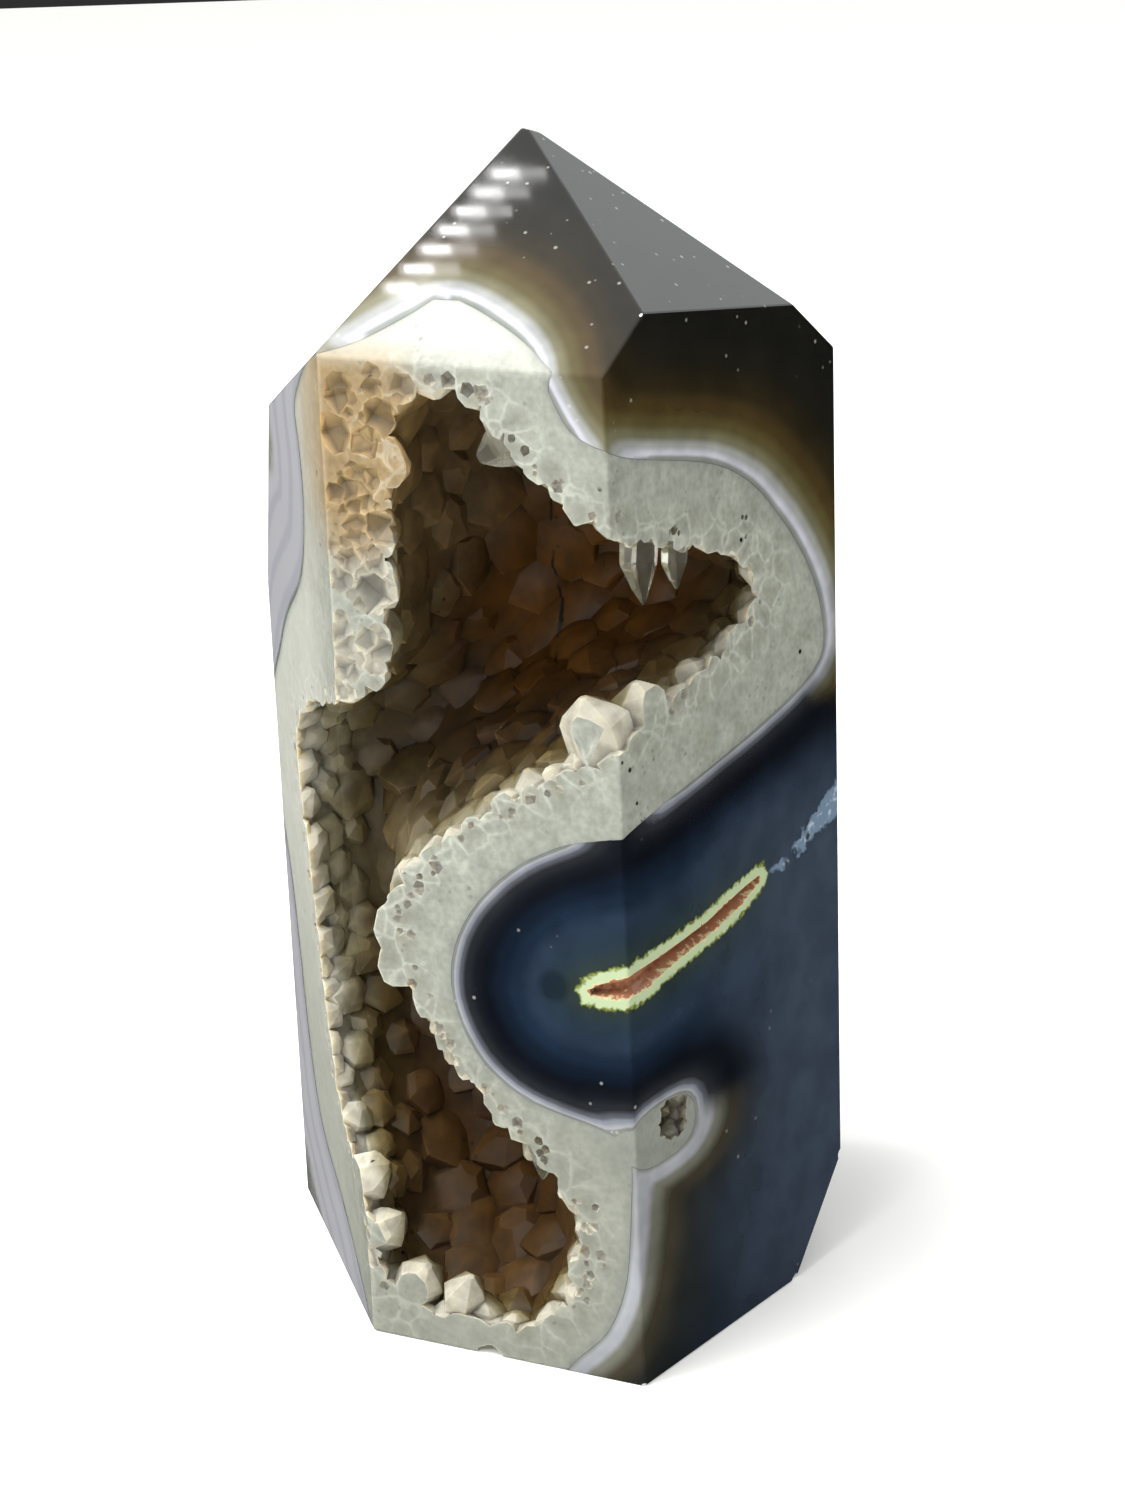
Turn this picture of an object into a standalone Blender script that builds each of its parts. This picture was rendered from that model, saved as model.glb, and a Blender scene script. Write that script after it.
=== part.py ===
"""Agate geode cut and polished as a six-sided standing point, with a crystal-lined hollow.

Sizes are in millimetres and turned to metres where points are made. The base lies on Z = 0,
the hollow opens to -Y (front) and -X (left).
"""

import math

import bmesh
import bpy
import numpy as np
from mathutils import Matrix, Vector

MM = 0.001
GAP = 0.3
APEX = (0.0, -3.3, 120.5)

# Each facet: compass angle of its outward normal, its lean above the horizontal, a point on it.
FRONT_LEFT = (-115.5, -0.3, (7.4, -33.0, 0.0))
FRONT_RIGHT = (-38.2, 0.6, (7.4, -33.0, 0.0))
LEFT = (-164.6, -0.1, (-20.1, -19.9, 0.0))
TOP_LEFT = (-114.4, 52.5, (9.9, -28.2, 105.8))
TOP_RIGHT = (-28.3, 55.3, (9.9, -28.2, 105.8))
TOP_FAR_LEFT = (173.9, 44.7, APEX)
FACETS = [
    FRONT_LEFT,
    FRONT_RIGHT,
    LEFT,
    (15.6, 0.0, (29.6, -4.2, 0.0)),
    (76.0, 0.0, (21.4, 25.0, 0.0)),
    (136.5, 0.0, (-29.4, 13.5, 0.0)),
    (136.5, 17.6, (-29.7, 14.4, 69.2)),
    (15.8, -33.2, (29.5, -4.7, 10.6)),
    TOP_LEFT,
    TOP_RIGHT,
    TOP_FAR_LEFT,
    (23.2, 49.8, APEX),
    (76.0, 49.4, APEX),
    (136.5, 45.6, APEX),
    (25.0, 72.0, (0.0, -3.3, 119.8)),
]

# Level sections of the quartz bed. Each one: height, where it leaves the stone on the left
# ("left", y on the left facet, or "front", x on the front), its deepest point, x where it
# leaves the stone on the right of the front.
BED = [
    (-2.0, "left", -19.6, (-10.6, -13.0), -1.6),
    (1.4, "left", -18.0, (-10.6, -9.0), 0.6),
    (5.0, "left", -13.2, (-9.6, -3.0), 4.0),
    (9.7, "left", -6.5, (-7.6, 1.5), 5.6),
    (13.0, "left", 1.8, (-7.6, 4.0), 6.2),
    (20.4, "left", 5.4, (-8.1, 7.0), 6.6),
    (26.4, "left", 7.0, (-9.6, 8.5), 6.6),
    (27.7, "left", 7.3, (-9.9, 8.8), 2.9),
    (29.0, "left", 7.5, (-10.4, 9.0), -3.4),
    (33.2, "left", 8.4, (-12.1, 10.0), -8.2),
    (40.2, "left", 10.3, (-14.1, 11.4), -10.5),
    (46.7, "left", 14.2, (-14.6, 13.5), -9.1),
    (53.3, "left", 15.0, (-13.1, 14.0), -4.0),
    (57.1, "left", 14.4, (-10.1, 13.4), 2.7),
    (59.0, "left", 13.9, (-8.1, 13.0), 10.2),
    (61.6, "left", 12.5, (-5.1, 12.5), 18.7),
    (65.6, "left", 8.0, (-2.6, 11.8), 27.6),
    (70.5, "left", 3.6, (-1.6, 11.3), 28.0),
    (76.9, "left", -7.0, (-1.2, 10.6), 26.5),
    (85.4, "left", -9.8, (-2.1, 9.2), 21.8),
    (90.2, "left", -9.3, (-3.5, 7.8), 17.0),
    (93.0, "left", -8.1, (-4.6, 6.6), 8.4),
    (95.0, "left", -7.9, (-5.4, 5.6), 3.4),
    (100.2, "left", -15.0, (-7.3, 0.8), 0.9),
    (103.0, "front", -15.8, (-8.0, -6.0), 0.0),
    (105.4, "front", -10.8, (-8.1, -15.0), -4.4),
    (106.3, "front", -9.2, (-7.8, -18.6), -6.8),
]

# Level sections of the open space, measured at the foot of the crystals.
SPACE = [
    (4.0, "front", -15.1, (-9.1, -16.0), -3.6),
    (5.5, "front", -17.1, (-9.1, -11.0), -1.2),
    (8.5, "front", -18.1, (-8.6, -7.0), 1.1),
    (13.0, "front", -18.8, (-8.1, -3.0), 1.7),
    (16.0, "left", -13.5, (-8.2, -0.5), 2.2),
    (21.0, "left", -7.2, (-9.1, 1.5), 0.8),
    (26.5, "left", -5.2, (-11.1, 3.0), -5.6),
    (34.0, "left", -2.8, (-14.6, 4.6), -12.1),
    (44.0, "left", -0.1, (-18.1, 6.6), -16.0),
    (48.0, "left", 1.6, (-18.1, 7.6), -16.2),
    (52.5, "left", 3.0, (-16.6, 8.4), -12.6),
    (59.0, "left", 4.0, (-11.6, 8.3), -5.6),
    (65.0, "left", -3.0, (-4.1, 7.6), 3.6),
    (69.2, "front", -16.6, (-0.6, 7.2), 13.4),
    (71.5, "front", -15.6, (0.4, 7.0), 18.9),
    (76.0, "front", -15.2, (1.2, 6.5), 21.8),
    (81.0, "front", -14.8, (0.9, 5.8), 19.4),
    (83.5, "front", -14.6, (-0.3, 5.2), 14.4),
    (86.0, "front", -14.6, (-1.8, 4.1), 5.8),
    (92.5, "front", -14.6, (-4.6, -0.4), -1.2),
    (96.0, "front", -14.2, (-6.4, -5.0), -3.0),
    (99.3, "front", -11.2, (-8.3, -15.0), -6.4),
]

# A small pocket on the right of the lower opening: half sizes along the facet, into it and up.
POCKET_CENTRE = (9.9, -29.3, 25.9)
POCKET_BED = (5.4, 5.5, 3.1)
PIT_CENTRE = (11.0, -27.9, 26.0)
PIT_SIZE = (2.3, 3.6, 1.5)

# The seam in the nodule: stations along it on the front facets, each with its half height.
SEAM = [
    ((3.2, 41.6), 0.5),
    ((4.6, 42.0), 1.1),
    ((7.4, 42.7), 1.3),
    ((12.5, 43.7), 1.2),
    ((17.0, 45.0), 1.0),
    ((20.6, 46.7), 0.4),
]
SEAM_DEPTH = 1.2

CRYSTAL_SPACING = 5.6
CRYSTAL_RADIUS = (2.5, 3.6)
ROOT_DEPTH = 2.4

# The crystals that stand out: foot, pointing direction, length beyond the bed and radius.
TALL_CRYSTALS = [
    ((9.0, -28.3, 84.6), (0.02, -0.12, -1.0), 4.8, 1.8),
    ((12.2, -25.0, 84.0), (0.05, -0.15, -1.0), 4.2, 1.2),
    ((-3.4, -27.2, 94.0), (-0.86, -0.10, -0.42), 3.8, 2.0),
    ((3.4, -28.0, 66.2), (-0.42, -0.05, 0.86), 5.4, 3.3),
    ((9.3, -27.0, 68.6), (-0.25, 0.0, 0.94), 3.4, 3.2),
    ((-15.2, -23.6, 92.0), (0.94, -0.1, -0.15), 3.2, 2.3),
    ((-16.0, -22.6, 46.0), (-0.92, -0.1, 0.12), 2.8, 2.6),
    ((-5.2, -26.0, 25.6), (0.05, -0.15, -1.0), 3.0, 2.2),
    ((-16.8, -19.6, 8.6), (0.86, -0.2, 0.25), 3.4, 3.0),
]


def normal_of(facet):
    """Outward unit normal of a facet."""
    turn, lean = math.radians(facet[0]), math.radians(facet[1])
    return Vector((math.cos(turn) * math.cos(lean), math.sin(turn) * math.cos(lean), math.sin(lean)))


def front_y(x, z):
    """y of the front surface at x and z."""
    found = []
    for facet in (FRONT_LEFT, FRONT_RIGHT, TOP_LEFT, TOP_RIGHT):
        n = normal_of(facet)
        p = Vector(facet[2])
        found.append((n.dot(p) - n.x * x - n.z * z) / n.y)
    return max(found)


def left_x(y, z):
    """x of the left surface at y and z."""
    found = []
    for facet in (LEFT, TOP_FAR_LEFT):
        n = normal_of(facet)
        p = Vector(facet[2])
        found.append((n.dot(p) - n.y * y - n.z * z) / n.x)
    return max(found)


def material(name, colour, roughness):
    """Principled material with the part's colour and roughness."""
    made = bpy.data.materials.new(name)
    made.use_nodes = True
    shader = made.node_tree.nodes["Principled BSDF"]
    shader.inputs["Base Color"].default_value = (*colour, 1.0)
    shader.inputs["Roughness"].default_value = roughness
    shader.inputs["Metallic"].default_value = 0.0
    return made


def add_object(name, bm):
    """Object from a bmesh whose points are in millimetres."""
    bmesh.ops.scale(bm, vec=(MM, MM, MM), verts=bm.verts)
    bmesh.ops.recalc_face_normals(bm, faces=bm.faces)
    mesh = bpy.data.meshes.new(name)
    bm.to_mesh(mesh)
    bm.free()
    obj = bpy.data.objects.new(name, mesh)
    bpy.context.scene.collection.objects.link(obj)
    return obj


def combine(target, other, operation, own_overlaps=False):
    """Applies a Boolean of another object to the target and removes that object."""
    step = target.modifiers.new(operation.lower(), "BOOLEAN")
    step.operation = operation
    step.solver = "EXACT"
    step.use_self = own_overlaps
    step.object = other
    bpy.context.view_layer.objects.active = target
    bpy.ops.object.modifier_apply(modifier=step.name)
    bpy.data.objects.remove(other)


def facet_block(name, foot):
    """The convex block that the polished facets bound, standing on height foot."""
    bm = bmesh.new()
    bmesh.ops.create_cube(bm, size=260.0)
    planes = [(Vector(facet[2]), normal_of(facet)) for facet in FACETS]
    planes.append((Vector((0.0, 0.0, foot)), Vector((0.0, 0.0, -1.0))))
    for point, normal in planes:
        cut = bmesh.ops.bisect_plane(
            bm,
            geom=bm.verts[:] + bm.edges[:] + bm.faces[:],
            plane_co=point,
            plane_no=normal,
            clear_outer=True,
        )
        rim = [part for part in cut["geom_cut"] if isinstance(part, bmesh.types.BMEdge)]
        bmesh.ops.holes_fill(bm, edges=rim, sides=0)
    return add_object(name, bm)


def bezier(a, b, c, d, count):
    """Points on a cubic curve, without its last one."""
    found = []
    for i in range(count):
        t = i / count
        s = 1.0 - t
        found.append(a * s**3 + b * 3 * s * s * t + c * 3 * s * t * t + d * t**3)
    return found


def section(level, reach):
    """One closed level section: right exit, round the back, left exit, round outside the front."""
    z, side, place, deep, right = level
    b = Vector((right, front_y(right, z)))
    m = Vector(deep)
    if side == "left":
        a = Vector((left_x(place, z), place))
        inward = Vector((0.75, 0.66))
        outward = Vector((-0.96, -0.27))
    else:
        a = Vector((place, front_y(place, z)))
        inward = Vector((-0.12, 0.99))
        outward = Vector((-0.43, -0.90))
    rise_b = 0.55 * (m.y - b.y)
    rise_a = 0.45 * (m - a).length
    back = bezier(b, b + Vector((0.14, 0.99)) * rise_b, m + Vector((0.55 * (b.x - m.x), 0)), m, 9)
    left = bezier(m, m + Vector((0.5 * (a.x - m.x), 0)), a + inward * rise_a, a, 8)
    a_out = a + outward * 4.0
    b_out = b + Vector((0.6, -0.8)) * 4.0
    hub = Vector((0.0, -3.0))
    first = math.atan2(a_out.y - hub.y, a_out.x - hub.x) % math.tau
    last = math.atan2(b_out.y - hub.y, b_out.x - hub.x) % math.tau
    around = []
    for i in range(6):
        turn = first + (last - first) * i / 5
        around.append(hub + Vector((math.cos(turn), math.sin(turn))) * reach)
    return [Vector((p.x, p.y, z)) for p in back + left + [a, a_out] + around + [b_out]]


def loft(name, levels, reach, between, inset=0.0):
    """Closed body through level sections, with smooth ones between them."""
    keys = [section(level, reach) for level in levels]
    rings = []
    for k in range(len(keys) - 1):
        before = keys[max(k - 1, 0)]
        after = keys[min(k + 2, len(keys) - 1)]
        rings.append(keys[k])
        for j in range(1, between + 1):
            t = j / (between + 1)
            ring = []
            for i in range(len(keys[k])):
                p, q = keys[k][i], keys[k + 1][i]
                rise = q.z - p.z
                slope_p = (q - before[i]) / max(q.z - before[i].z, 0.1) * rise
                slope_q = (after[i] - p) / max(after[i].z - p.z, 0.1) * rise
                h = t * t * (3 - 2 * t)
                point = p * (1 - h) + q * h
                point += slope_p * (t * (1 - t) ** 2) * 0.6 - slope_q * (t * t * (1 - t)) * 0.6
                point.z = p.z + rise * t
                ring.append(point)
            rings.append(ring)
    rings.append(keys[-1])
    bm = bmesh.new()
    rows = [[bm.verts.new(point) for point in ring] for ring in rings]
    count = len(rows[0])
    for low, high in zip(rows, rows[1:]):
        for i in range(count):
            j = (i + 1) % count
            bm.faces.new((low[i], low[j], high[j], high[i]))
    bm.faces.new(reversed(rows[0]))
    bm.faces.new(rows[-1])
    bmesh.ops.recalc_face_normals(bm, faces=bm.faces)
    if inset:
        bm.normal_update()
        moved = [(vert, vert.co - vert.normal * inset) for vert in bm.verts]
        for vert, place in moved:
            vert.co = place
    return add_object(name, bm)


def pebble(name, centre, half, inset=0.0):
    """A rounded lump lying along the front right facet."""
    bm = bmesh.new()
    bmesh.ops.create_icosphere(bm, subdivisions=3, radius=1.0)
    for vert in bm.verts:
        x, y, z = vert.co
        size = (abs(x) ** 2.6 + abs(y) ** 2.6 + abs(z) ** 2.6) ** (1 / 2.6)
        vert.co = vert.co / size
    bmesh.ops.scale(bm, vec=[h - inset for h in half], verts=bm.verts)
    turn = Matrix.Rotation(math.radians(90.0 + FRONT_RIGHT[0]), 3, "Z")
    bmesh.ops.rotate(bm, matrix=turn, verts=bm.verts)
    bmesh.ops.translate(bm, vec=centre, verts=bm.verts)
    return add_object(name, bm)


def seam_cutter():
    """A shallow lens along the seam, bent over the front edge of the stone."""
    bm = bmesh.new()
    rows = []
    for (x, z), half in SEAM:
        y = front_y(x, z)
        facet = FRONT_LEFT if x < 7.4 else FRONT_RIGHT
        n = normal_of(facet)
        if abs(x - 7.4) < 0.5:
            n = (normal_of(FRONT_LEFT) + normal_of(FRONT_RIGHT)).normalized()
        on = Vector((x, y, z))
        up = Vector((0.0, 0.0, half))
        floor = on - n * SEAM_DEPTH
        out = on + n * 1.5
        rows.append([bm.verts.new(p) for p in (out + up, on + up, floor, on - up, out - up)])
    for low, high in zip(rows, rows[1:]):
        for i in range(5):
            j = (i + 1) % 5
            bm.faces.new((low[i], low[j], high[j], high[i]))
    bm.faces.new(reversed(rows[0]))
    bm.faces.new(rows[-1])
    return add_object("seam_cutter", bm)


def crystal(bm, foot, axis, length, radius, turn):
    """One six-sided quartz point: a short prism rooted in the bed, with a pyramid on it."""
    axis = axis.normalized()
    side = axis.orthogonal().normalized()
    side = Matrix.Rotation(turn, 3, axis) @ side
    across = axis.cross(side)
    point = min(1.15 * radius, 0.9 * length)
    rings = []
    for height, width in ((-ROOT_DEPTH, 0.92), (length - point, 1.0)):
        ring = []
        for i in range(6):
            angle = math.tau * i / 6
            spread = side * math.cos(angle) + across * math.sin(angle)
            ring.append(bm.verts.new(foot + axis * height + spread * radius * width))
        rings.append(ring)
    tip = bm.verts.new(foot + axis * length + side * radius * 0.12)
    low, high = rings
    for i in range(6):
        j = (i + 1) % 6
        bm.faces.new((low[i], low[j], high[j], high[i]))
        bm.faces.new((high[i], high[j], tip))
    bm.faces.new(reversed(low))


def inside_block(point, margin):
    """Whether a point lies within the polished facets, or at most margin beyond one."""
    for facet in FACETS:
        if normal_of(facet).dot(point - Vector(facet[2])) > margin:
            return False
    return point.z > GAP - margin


def wall_samples(obj, spacing, seed):
    """Points spread evenly over the walls of the open space, each with its outward normal."""
    rng = np.random.default_rng(seed)
    mesh = obj.data
    mesh.calc_loop_triangles()
    corners = [[Vector(mesh.vertices[i].co) / MM for i in tri.vertices] for tri in mesh.loop_triangles]
    normals = [Vector(tri.normal) for tri in mesh.loop_triangles]
    areas = np.array([tri.area for tri in mesh.loop_triangles])
    picks = rng.choice(len(corners), size=26000, p=areas / areas.sum())
    kept = []
    for pick in picks:
        u, v = rng.random(2)
        if u + v > 1:
            u, v = 1 - u, 1 - v
        a, b, c = corners[pick]
        point = a + (b - a) * u + (c - a) * v
        if not inside_block(point, 1.2):
            continue
        if all((point - other).length > spacing for other, _ in kept):
            kept.append((point, normals[pick]))
    return kept


def crystal_field(space):
    """All the crystals as one mesh of overlapping points."""
    rng = np.random.default_rng(11)
    bm = bmesh.new()
    for foot, axis, length, radius in TALL_CRYSTALS:
        crystal(bm, Vector(foot), Vector(axis), length, radius, rng.uniform(0.0, 1.0))
    for foot, normal in wall_samples(space, CRYSTAL_SPACING, 5):
        tilt = Vector(rng.normal(0.0, 0.16, 3))
        radius = rng.uniform(*CRYSTAL_RADIUS)
        length = radius * rng.uniform(0.55, 0.85)
        crystal(bm, foot, tilt - normal, length, radius, rng.uniform(0.0, 1.0))
    return add_object("crystal_field", bm)


def keep_largest(obj):
    """Leaves only the largest connected body."""
    bm = bmesh.new()
    bm.from_mesh(obj.data)
    bmesh.ops.remove_doubles(bm, verts=bm.verts, dist=1e-7)
    left = set(bm.verts)
    bodies = []
    while left:
        start = left.pop()
        body = {start}
        edge = [start]
        while edge:
            vert = edge.pop()
            for link in vert.link_edges:
                other = link.other_vert(vert)
                if other in left:
                    left.discard(other)
                    body.add(other)
                    edge.append(other)
        bodies.append(body)
    bodies.sort(key=len)
    for body in bodies[:-1]:
        bmesh.ops.delete(bm, geom=list(body), context="VERTS")
    bm.to_mesh(obj.data)
    bm.free()


def main():
    for obj in list(bpy.data.objects):
        bpy.data.objects.remove(obj)

    tower = facet_block("agate_tower", 0.0)
    combine(tower, loft("bed_cutter", BED, 44.0, 0), "DIFFERENCE")
    combine(tower, pebble("pocket_cutter", POCKET_CENTRE, POCKET_BED), "DIFFERENCE")
    combine(tower, seam_cutter(), "DIFFERENCE")
    keep_largest(tower)
    tower.data.materials.append(material("agate", (0.030, 0.032, 0.045), 0.12))

    space = loft("space_cutter", SPACE, 47.0, 0)
    combine(space, crystal_field(space), "DIFFERENCE", True)
    crust = loft("hollow_crystals", BED, 44.0, 0, GAP)
    combine(crust, pebble("pocket_fill", POCKET_CENTRE, POCKET_BED, GAP), "UNION")
    combine(crust, space, "DIFFERENCE")
    combine(crust, facet_block("trim_block", GAP), "INTERSECT")
    combine(crust, pebble("pit_cutter", PIT_CENTRE, PIT_SIZE), "DIFFERENCE")
    keep_largest(crust)
    crust.data.materials.append(material("quartz", (0.62, 0.60, 0.53), 0.25))


if __name__ == "__main__":
    main()
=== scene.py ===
import math
from itertools import product

import bmesh
import bpy
import numpy as np
from bpy.props import FloatProperty, FloatVectorProperty, IntProperty, PointerProperty
from mathutils import Matrix, Vector
from mathutils.bvhtree import BVHTree


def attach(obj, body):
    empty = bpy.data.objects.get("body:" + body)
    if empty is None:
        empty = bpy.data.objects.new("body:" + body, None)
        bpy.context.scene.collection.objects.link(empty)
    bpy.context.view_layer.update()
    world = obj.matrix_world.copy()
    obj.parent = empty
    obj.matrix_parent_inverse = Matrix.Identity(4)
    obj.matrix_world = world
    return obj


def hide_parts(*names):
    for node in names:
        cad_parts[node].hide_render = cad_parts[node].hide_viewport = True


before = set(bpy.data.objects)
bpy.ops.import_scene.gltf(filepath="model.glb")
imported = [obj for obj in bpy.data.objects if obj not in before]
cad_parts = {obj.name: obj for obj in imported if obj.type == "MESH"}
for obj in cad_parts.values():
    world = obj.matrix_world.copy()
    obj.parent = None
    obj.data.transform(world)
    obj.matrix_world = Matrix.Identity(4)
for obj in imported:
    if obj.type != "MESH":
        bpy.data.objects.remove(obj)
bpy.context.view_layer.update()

bl_info = {
    "name": "Polished agate geode point", "version": (1, 0, 0), "blender": (4, 5, 0),
    "location": "View3D > Sidebar > Geode",
    "description": "Models a faceted agate point with a crystal-lined hollow, and its studio stage",
    "category": "Add Mesh",
}

MM = 0.001
APEX = (0.0, -3.3, 120.5)

# Polished facets: compass angle of the outward normal, lean above the horizontal, a point in mm.
FRONT_LEFT = (-115.5, -0.3, (7.4, -33.0, 0.0))
FRONT_RIGHT = (-38.2, 0.6, (7.4, -33.0, 0.0))
LEFT = (-164.6, -0.1, (-20.1, -19.9, 0.0))
TOP_LEFT = (-114.4, 52.5, (9.9, -28.2, 105.8))
TOP_RIGHT = (-28.3, 55.3, (9.9, -28.2, 105.8))
TOP_FAR_LEFT = (173.9, 44.7, APEX)
FACETS = [
    FRONT_LEFT,
    FRONT_RIGHT,
    LEFT,
    (15.6, 0.0, (29.6, -4.2, 0.0)),
    (76.0, 0.0, (21.4, 25.0, 0.0)),
    (136.5, 0.0, (-29.4, 13.5, 0.0)),
    (136.5, 17.6, (-29.7, 14.4, 69.2)),
    (15.8, -33.2, (29.5, -4.7, 10.6)),
    TOP_LEFT,
    TOP_RIGHT,
    TOP_FAR_LEFT,
    (23.2, 49.8, APEX),
    (76.0, 49.4, APEX),
    (136.5, 45.6, APEX),
    (25.0, 72.0, (0.0, -3.3, 119.8)),
]

# Level sections of the quartz bed in mm: height, exit on the left ("left", y on the left
# facet, or "front", x on the front), deepest point, x of the exit on the right.
BED = [
    (-2.0, "left", -19.6, (-10.6, -13.0), -1.6), (1.4, "left", -18.0, (-10.6, -9.0), 0.6),
    (5.0, "left", -13.2, (-9.6, -3.0), 4.0), (9.7, "left", -6.5, (-7.6, 1.5), 5.6),
    (13.0, "left", 1.8, (-7.6, 4.0), 6.2), (20.4, "left", 5.4, (-8.1, 7.0), 6.6),
    (26.4, "left", 7.0, (-9.6, 8.5), 6.6), (27.7, "left", 7.3, (-9.9, 8.8), 2.9),
    (29.0, "left", 7.5, (-10.4, 9.0), -3.4), (33.2, "left", 8.4, (-12.1, 10.0), -8.2),
    (40.2, "left", 10.3, (-14.1, 11.4), -10.5), (46.7, "left", 14.2, (-14.6, 13.5), -9.1),
    (53.3, "left", 15.0, (-13.1, 14.0), -4.0), (57.1, "left", 14.4, (-10.1, 13.4), 2.7),
    (59.0, "left", 13.9, (-8.1, 13.0), 10.2), (61.6, "left", 12.5, (-5.1, 12.5), 18.7),
    (65.6, "left", 8.0, (-2.6, 11.8), 27.6), (70.5, "left", 3.6, (-1.6, 11.3), 28.0),
    (76.9, "left", -7.0, (-1.2, 10.6), 26.5), (85.4, "left", -9.8, (-2.1, 9.2), 21.8),
    (90.2, "left", -9.3, (-3.5, 7.8), 17.0), (93.0, "left", -8.1, (-4.6, 6.6), 8.4),
    (95.0, "left", -7.9, (-5.4, 5.6), 3.4), (100.2, "left", -15.0, (-7.3, 0.8), 0.9),
    (103.0, "front", -15.8, (-8.0, -6.0), 0.0), (105.4, "front", -10.8, (-8.1, -15.0), -4.4),
    (106.3, "front", -9.2, (-7.8, -18.6), -6.8),
]

# Level sections of the open space, at the foot of the crystals.
SPACE = [
    (3.2, "front", -16.6, (-9.1, -16.0), -3.6), (5.5, "front", -18.6, (-9.1, -11.0), -1.2),
    (8.5, "front", -19.4, (-8.6, -7.0), 1.1), (13.0, "front", -19.6, (-8.1, -3.0), 1.7),
    (16.0, "left", -13.5, (-8.2, -0.5), 2.2), (21.0, "left", -7.2, (-9.1, 1.5), 0.8),
    (26.5, "left", -5.2, (-11.1, 3.0), -5.6), (34.0, "left", -2.8, (-14.6, 4.6), -12.1),
    (44.0, "left", -0.1, (-18.1, 6.6), -16.0), (48.0, "left", 1.6, (-18.1, 7.6), -16.2),
    (52.5, "left", 3.0, (-16.6, 8.4), -12.6), (59.0, "left", 4.0, (-11.6, 8.3), -5.6),
    (65.0, "left", -3.0, (-4.1, 7.6), 3.6), (69.2, "front", -16.6, (-0.6, 7.2), 13.4),
    (71.5, "front", -15.6, (0.4, 7.0), 18.9), (76.0, "front", -15.2, (1.2, 6.5), 21.8),
    (81.0, "front", -14.8, (0.9, 5.8), 19.4), (83.5, "front", -14.6, (-0.3, 5.2), 14.4),
    (86.0, "front", -14.6, (-1.8, 4.1), 5.8), (92.5, "front", -14.6, (-4.6, -0.4), -1.2),
    (96.0, "front", -14.2, (-6.4, -5.0), -3.0), (99.3, "front", -11.2, (-8.3, -15.0), -6.4),
]

# Points of a section along the right and the left half of its back wall.
BACK_STEPS, LEFT_STEPS = 18, 16
WALL_POINTS = BACK_STEPS + LEFT_STEPS + 1
# A loft reaches this far outside the stone, mm, with this many rings between its sections.
BED_REACH, BED_BETWEEN = 44.0, 4
SPACE_REACH, SPACE_BETWEEN = 47.0, 2
# How often the rings of a loft are averaged with their neighbours.
ROUNDING = 6

# The small pocket beside the lower opening: half sizes along the facet, into it and up, mm.
POCKET_CENTRE = (9.9, -29.3, 25.9)
POCKET_BED = (5.4, 5.5, 3.1)
PIT_CENTRE = (11.1, -28.0, 26.9)
PIT_SIZE = (2.5, 5.0, 2.5)
# Its roundness: 2 is an ellipsoid, more is boxier.
BOXINESS = 2.6

# Small breaks at the corners: centre and radius, mm.
CHIPS = [
    ((1.9, -4.2, 120.2), 1.35), ((9.9, -28.5, 106.3), 0.75), ((6.0, -33.4, 101.5), 0.55),
    ((25.3, -9.0, 103.3), 0.5), ((29.9, -4.6, 10.9), 0.7), ((24.4, -11.9, -0.1), 0.8),
    ((7.4, -33.3, -0.1), 0.6), ((21.6, 25.3, 94.6), 0.7), ((-29.7, 13.5, 72.0), 0.6),
]
BASE_CHIP = ((-8.2, -25.9, -0.5), 1.7)

# The seam in the nodule: x and z on the front facets and half height, mm.
SEAM = [
    ((3.2, 41.6), 0.35), ((4.2, 41.9), 0.75), ((5.8, 42.3), 1.0), ((7.4, 42.7), 1.15),
    ((10.0, 43.2), 0.95), ((12.5, 43.8), 0.8), ((15.0, 44.4), 0.75), ((17.0, 45.1), 0.85),
    ((19.0, 46.0), 0.7), ((20.6, 46.8), 0.3),
]
SEAM_DEPTH = 1.2
# Its colours reach this deep, mm.
SEAM_SEEN = 2.5
# The upright edge between the two front facets stands at this x, mm.
FRONT_EDGE = 7.4

# The crackled pale vein that runs on from the seam: x and z on the front right facet, mm.
VEIN = [
    (21.6, 46.2), (22.6, 47.2), (23.2, 46.7), (23.9, 47.5), (25.1, 48.1), (26.4, 49.2),
    (28.0, 50.2), (29.7, 51.2),
]

# The slats of a blind show in the upper left facet, from the apex down: first and last, mm.
SLATS_SEEN = ((-2.2, -7.8, 116.2), (-12.2, -16.4, 107.0))
SLAT_COUNT = 7
SLAT_ALONG = (0.89, -0.33, 0.32)

# Tips on a crystal of radius 1: height, radius and lean of each ring above its prism.
GROWN_TIPS = {
    "low_point": [(0.42, 0.34, 0.12)],
    "blunt_point": [(0.30, 0.78, 0.04), (0.78, 0.16, 0.16)],
    "leaning_point": [(0.24, 0.80, 0.16), (0.46, 0.30, 0.34)],
}
NICK_TIP = [(0.42, 0.35, 0.1)]
CLEAR_TIP = [(0.95, 0.55, 0.04), (1.75, 0.09, 0.12)]
# How many places on the walls are tried for a crystal.
TRIES = 60000
# Grown faces that meet at less than this are shaded as one, degrees.
SMOOTH_ANGLE = 24.0

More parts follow.
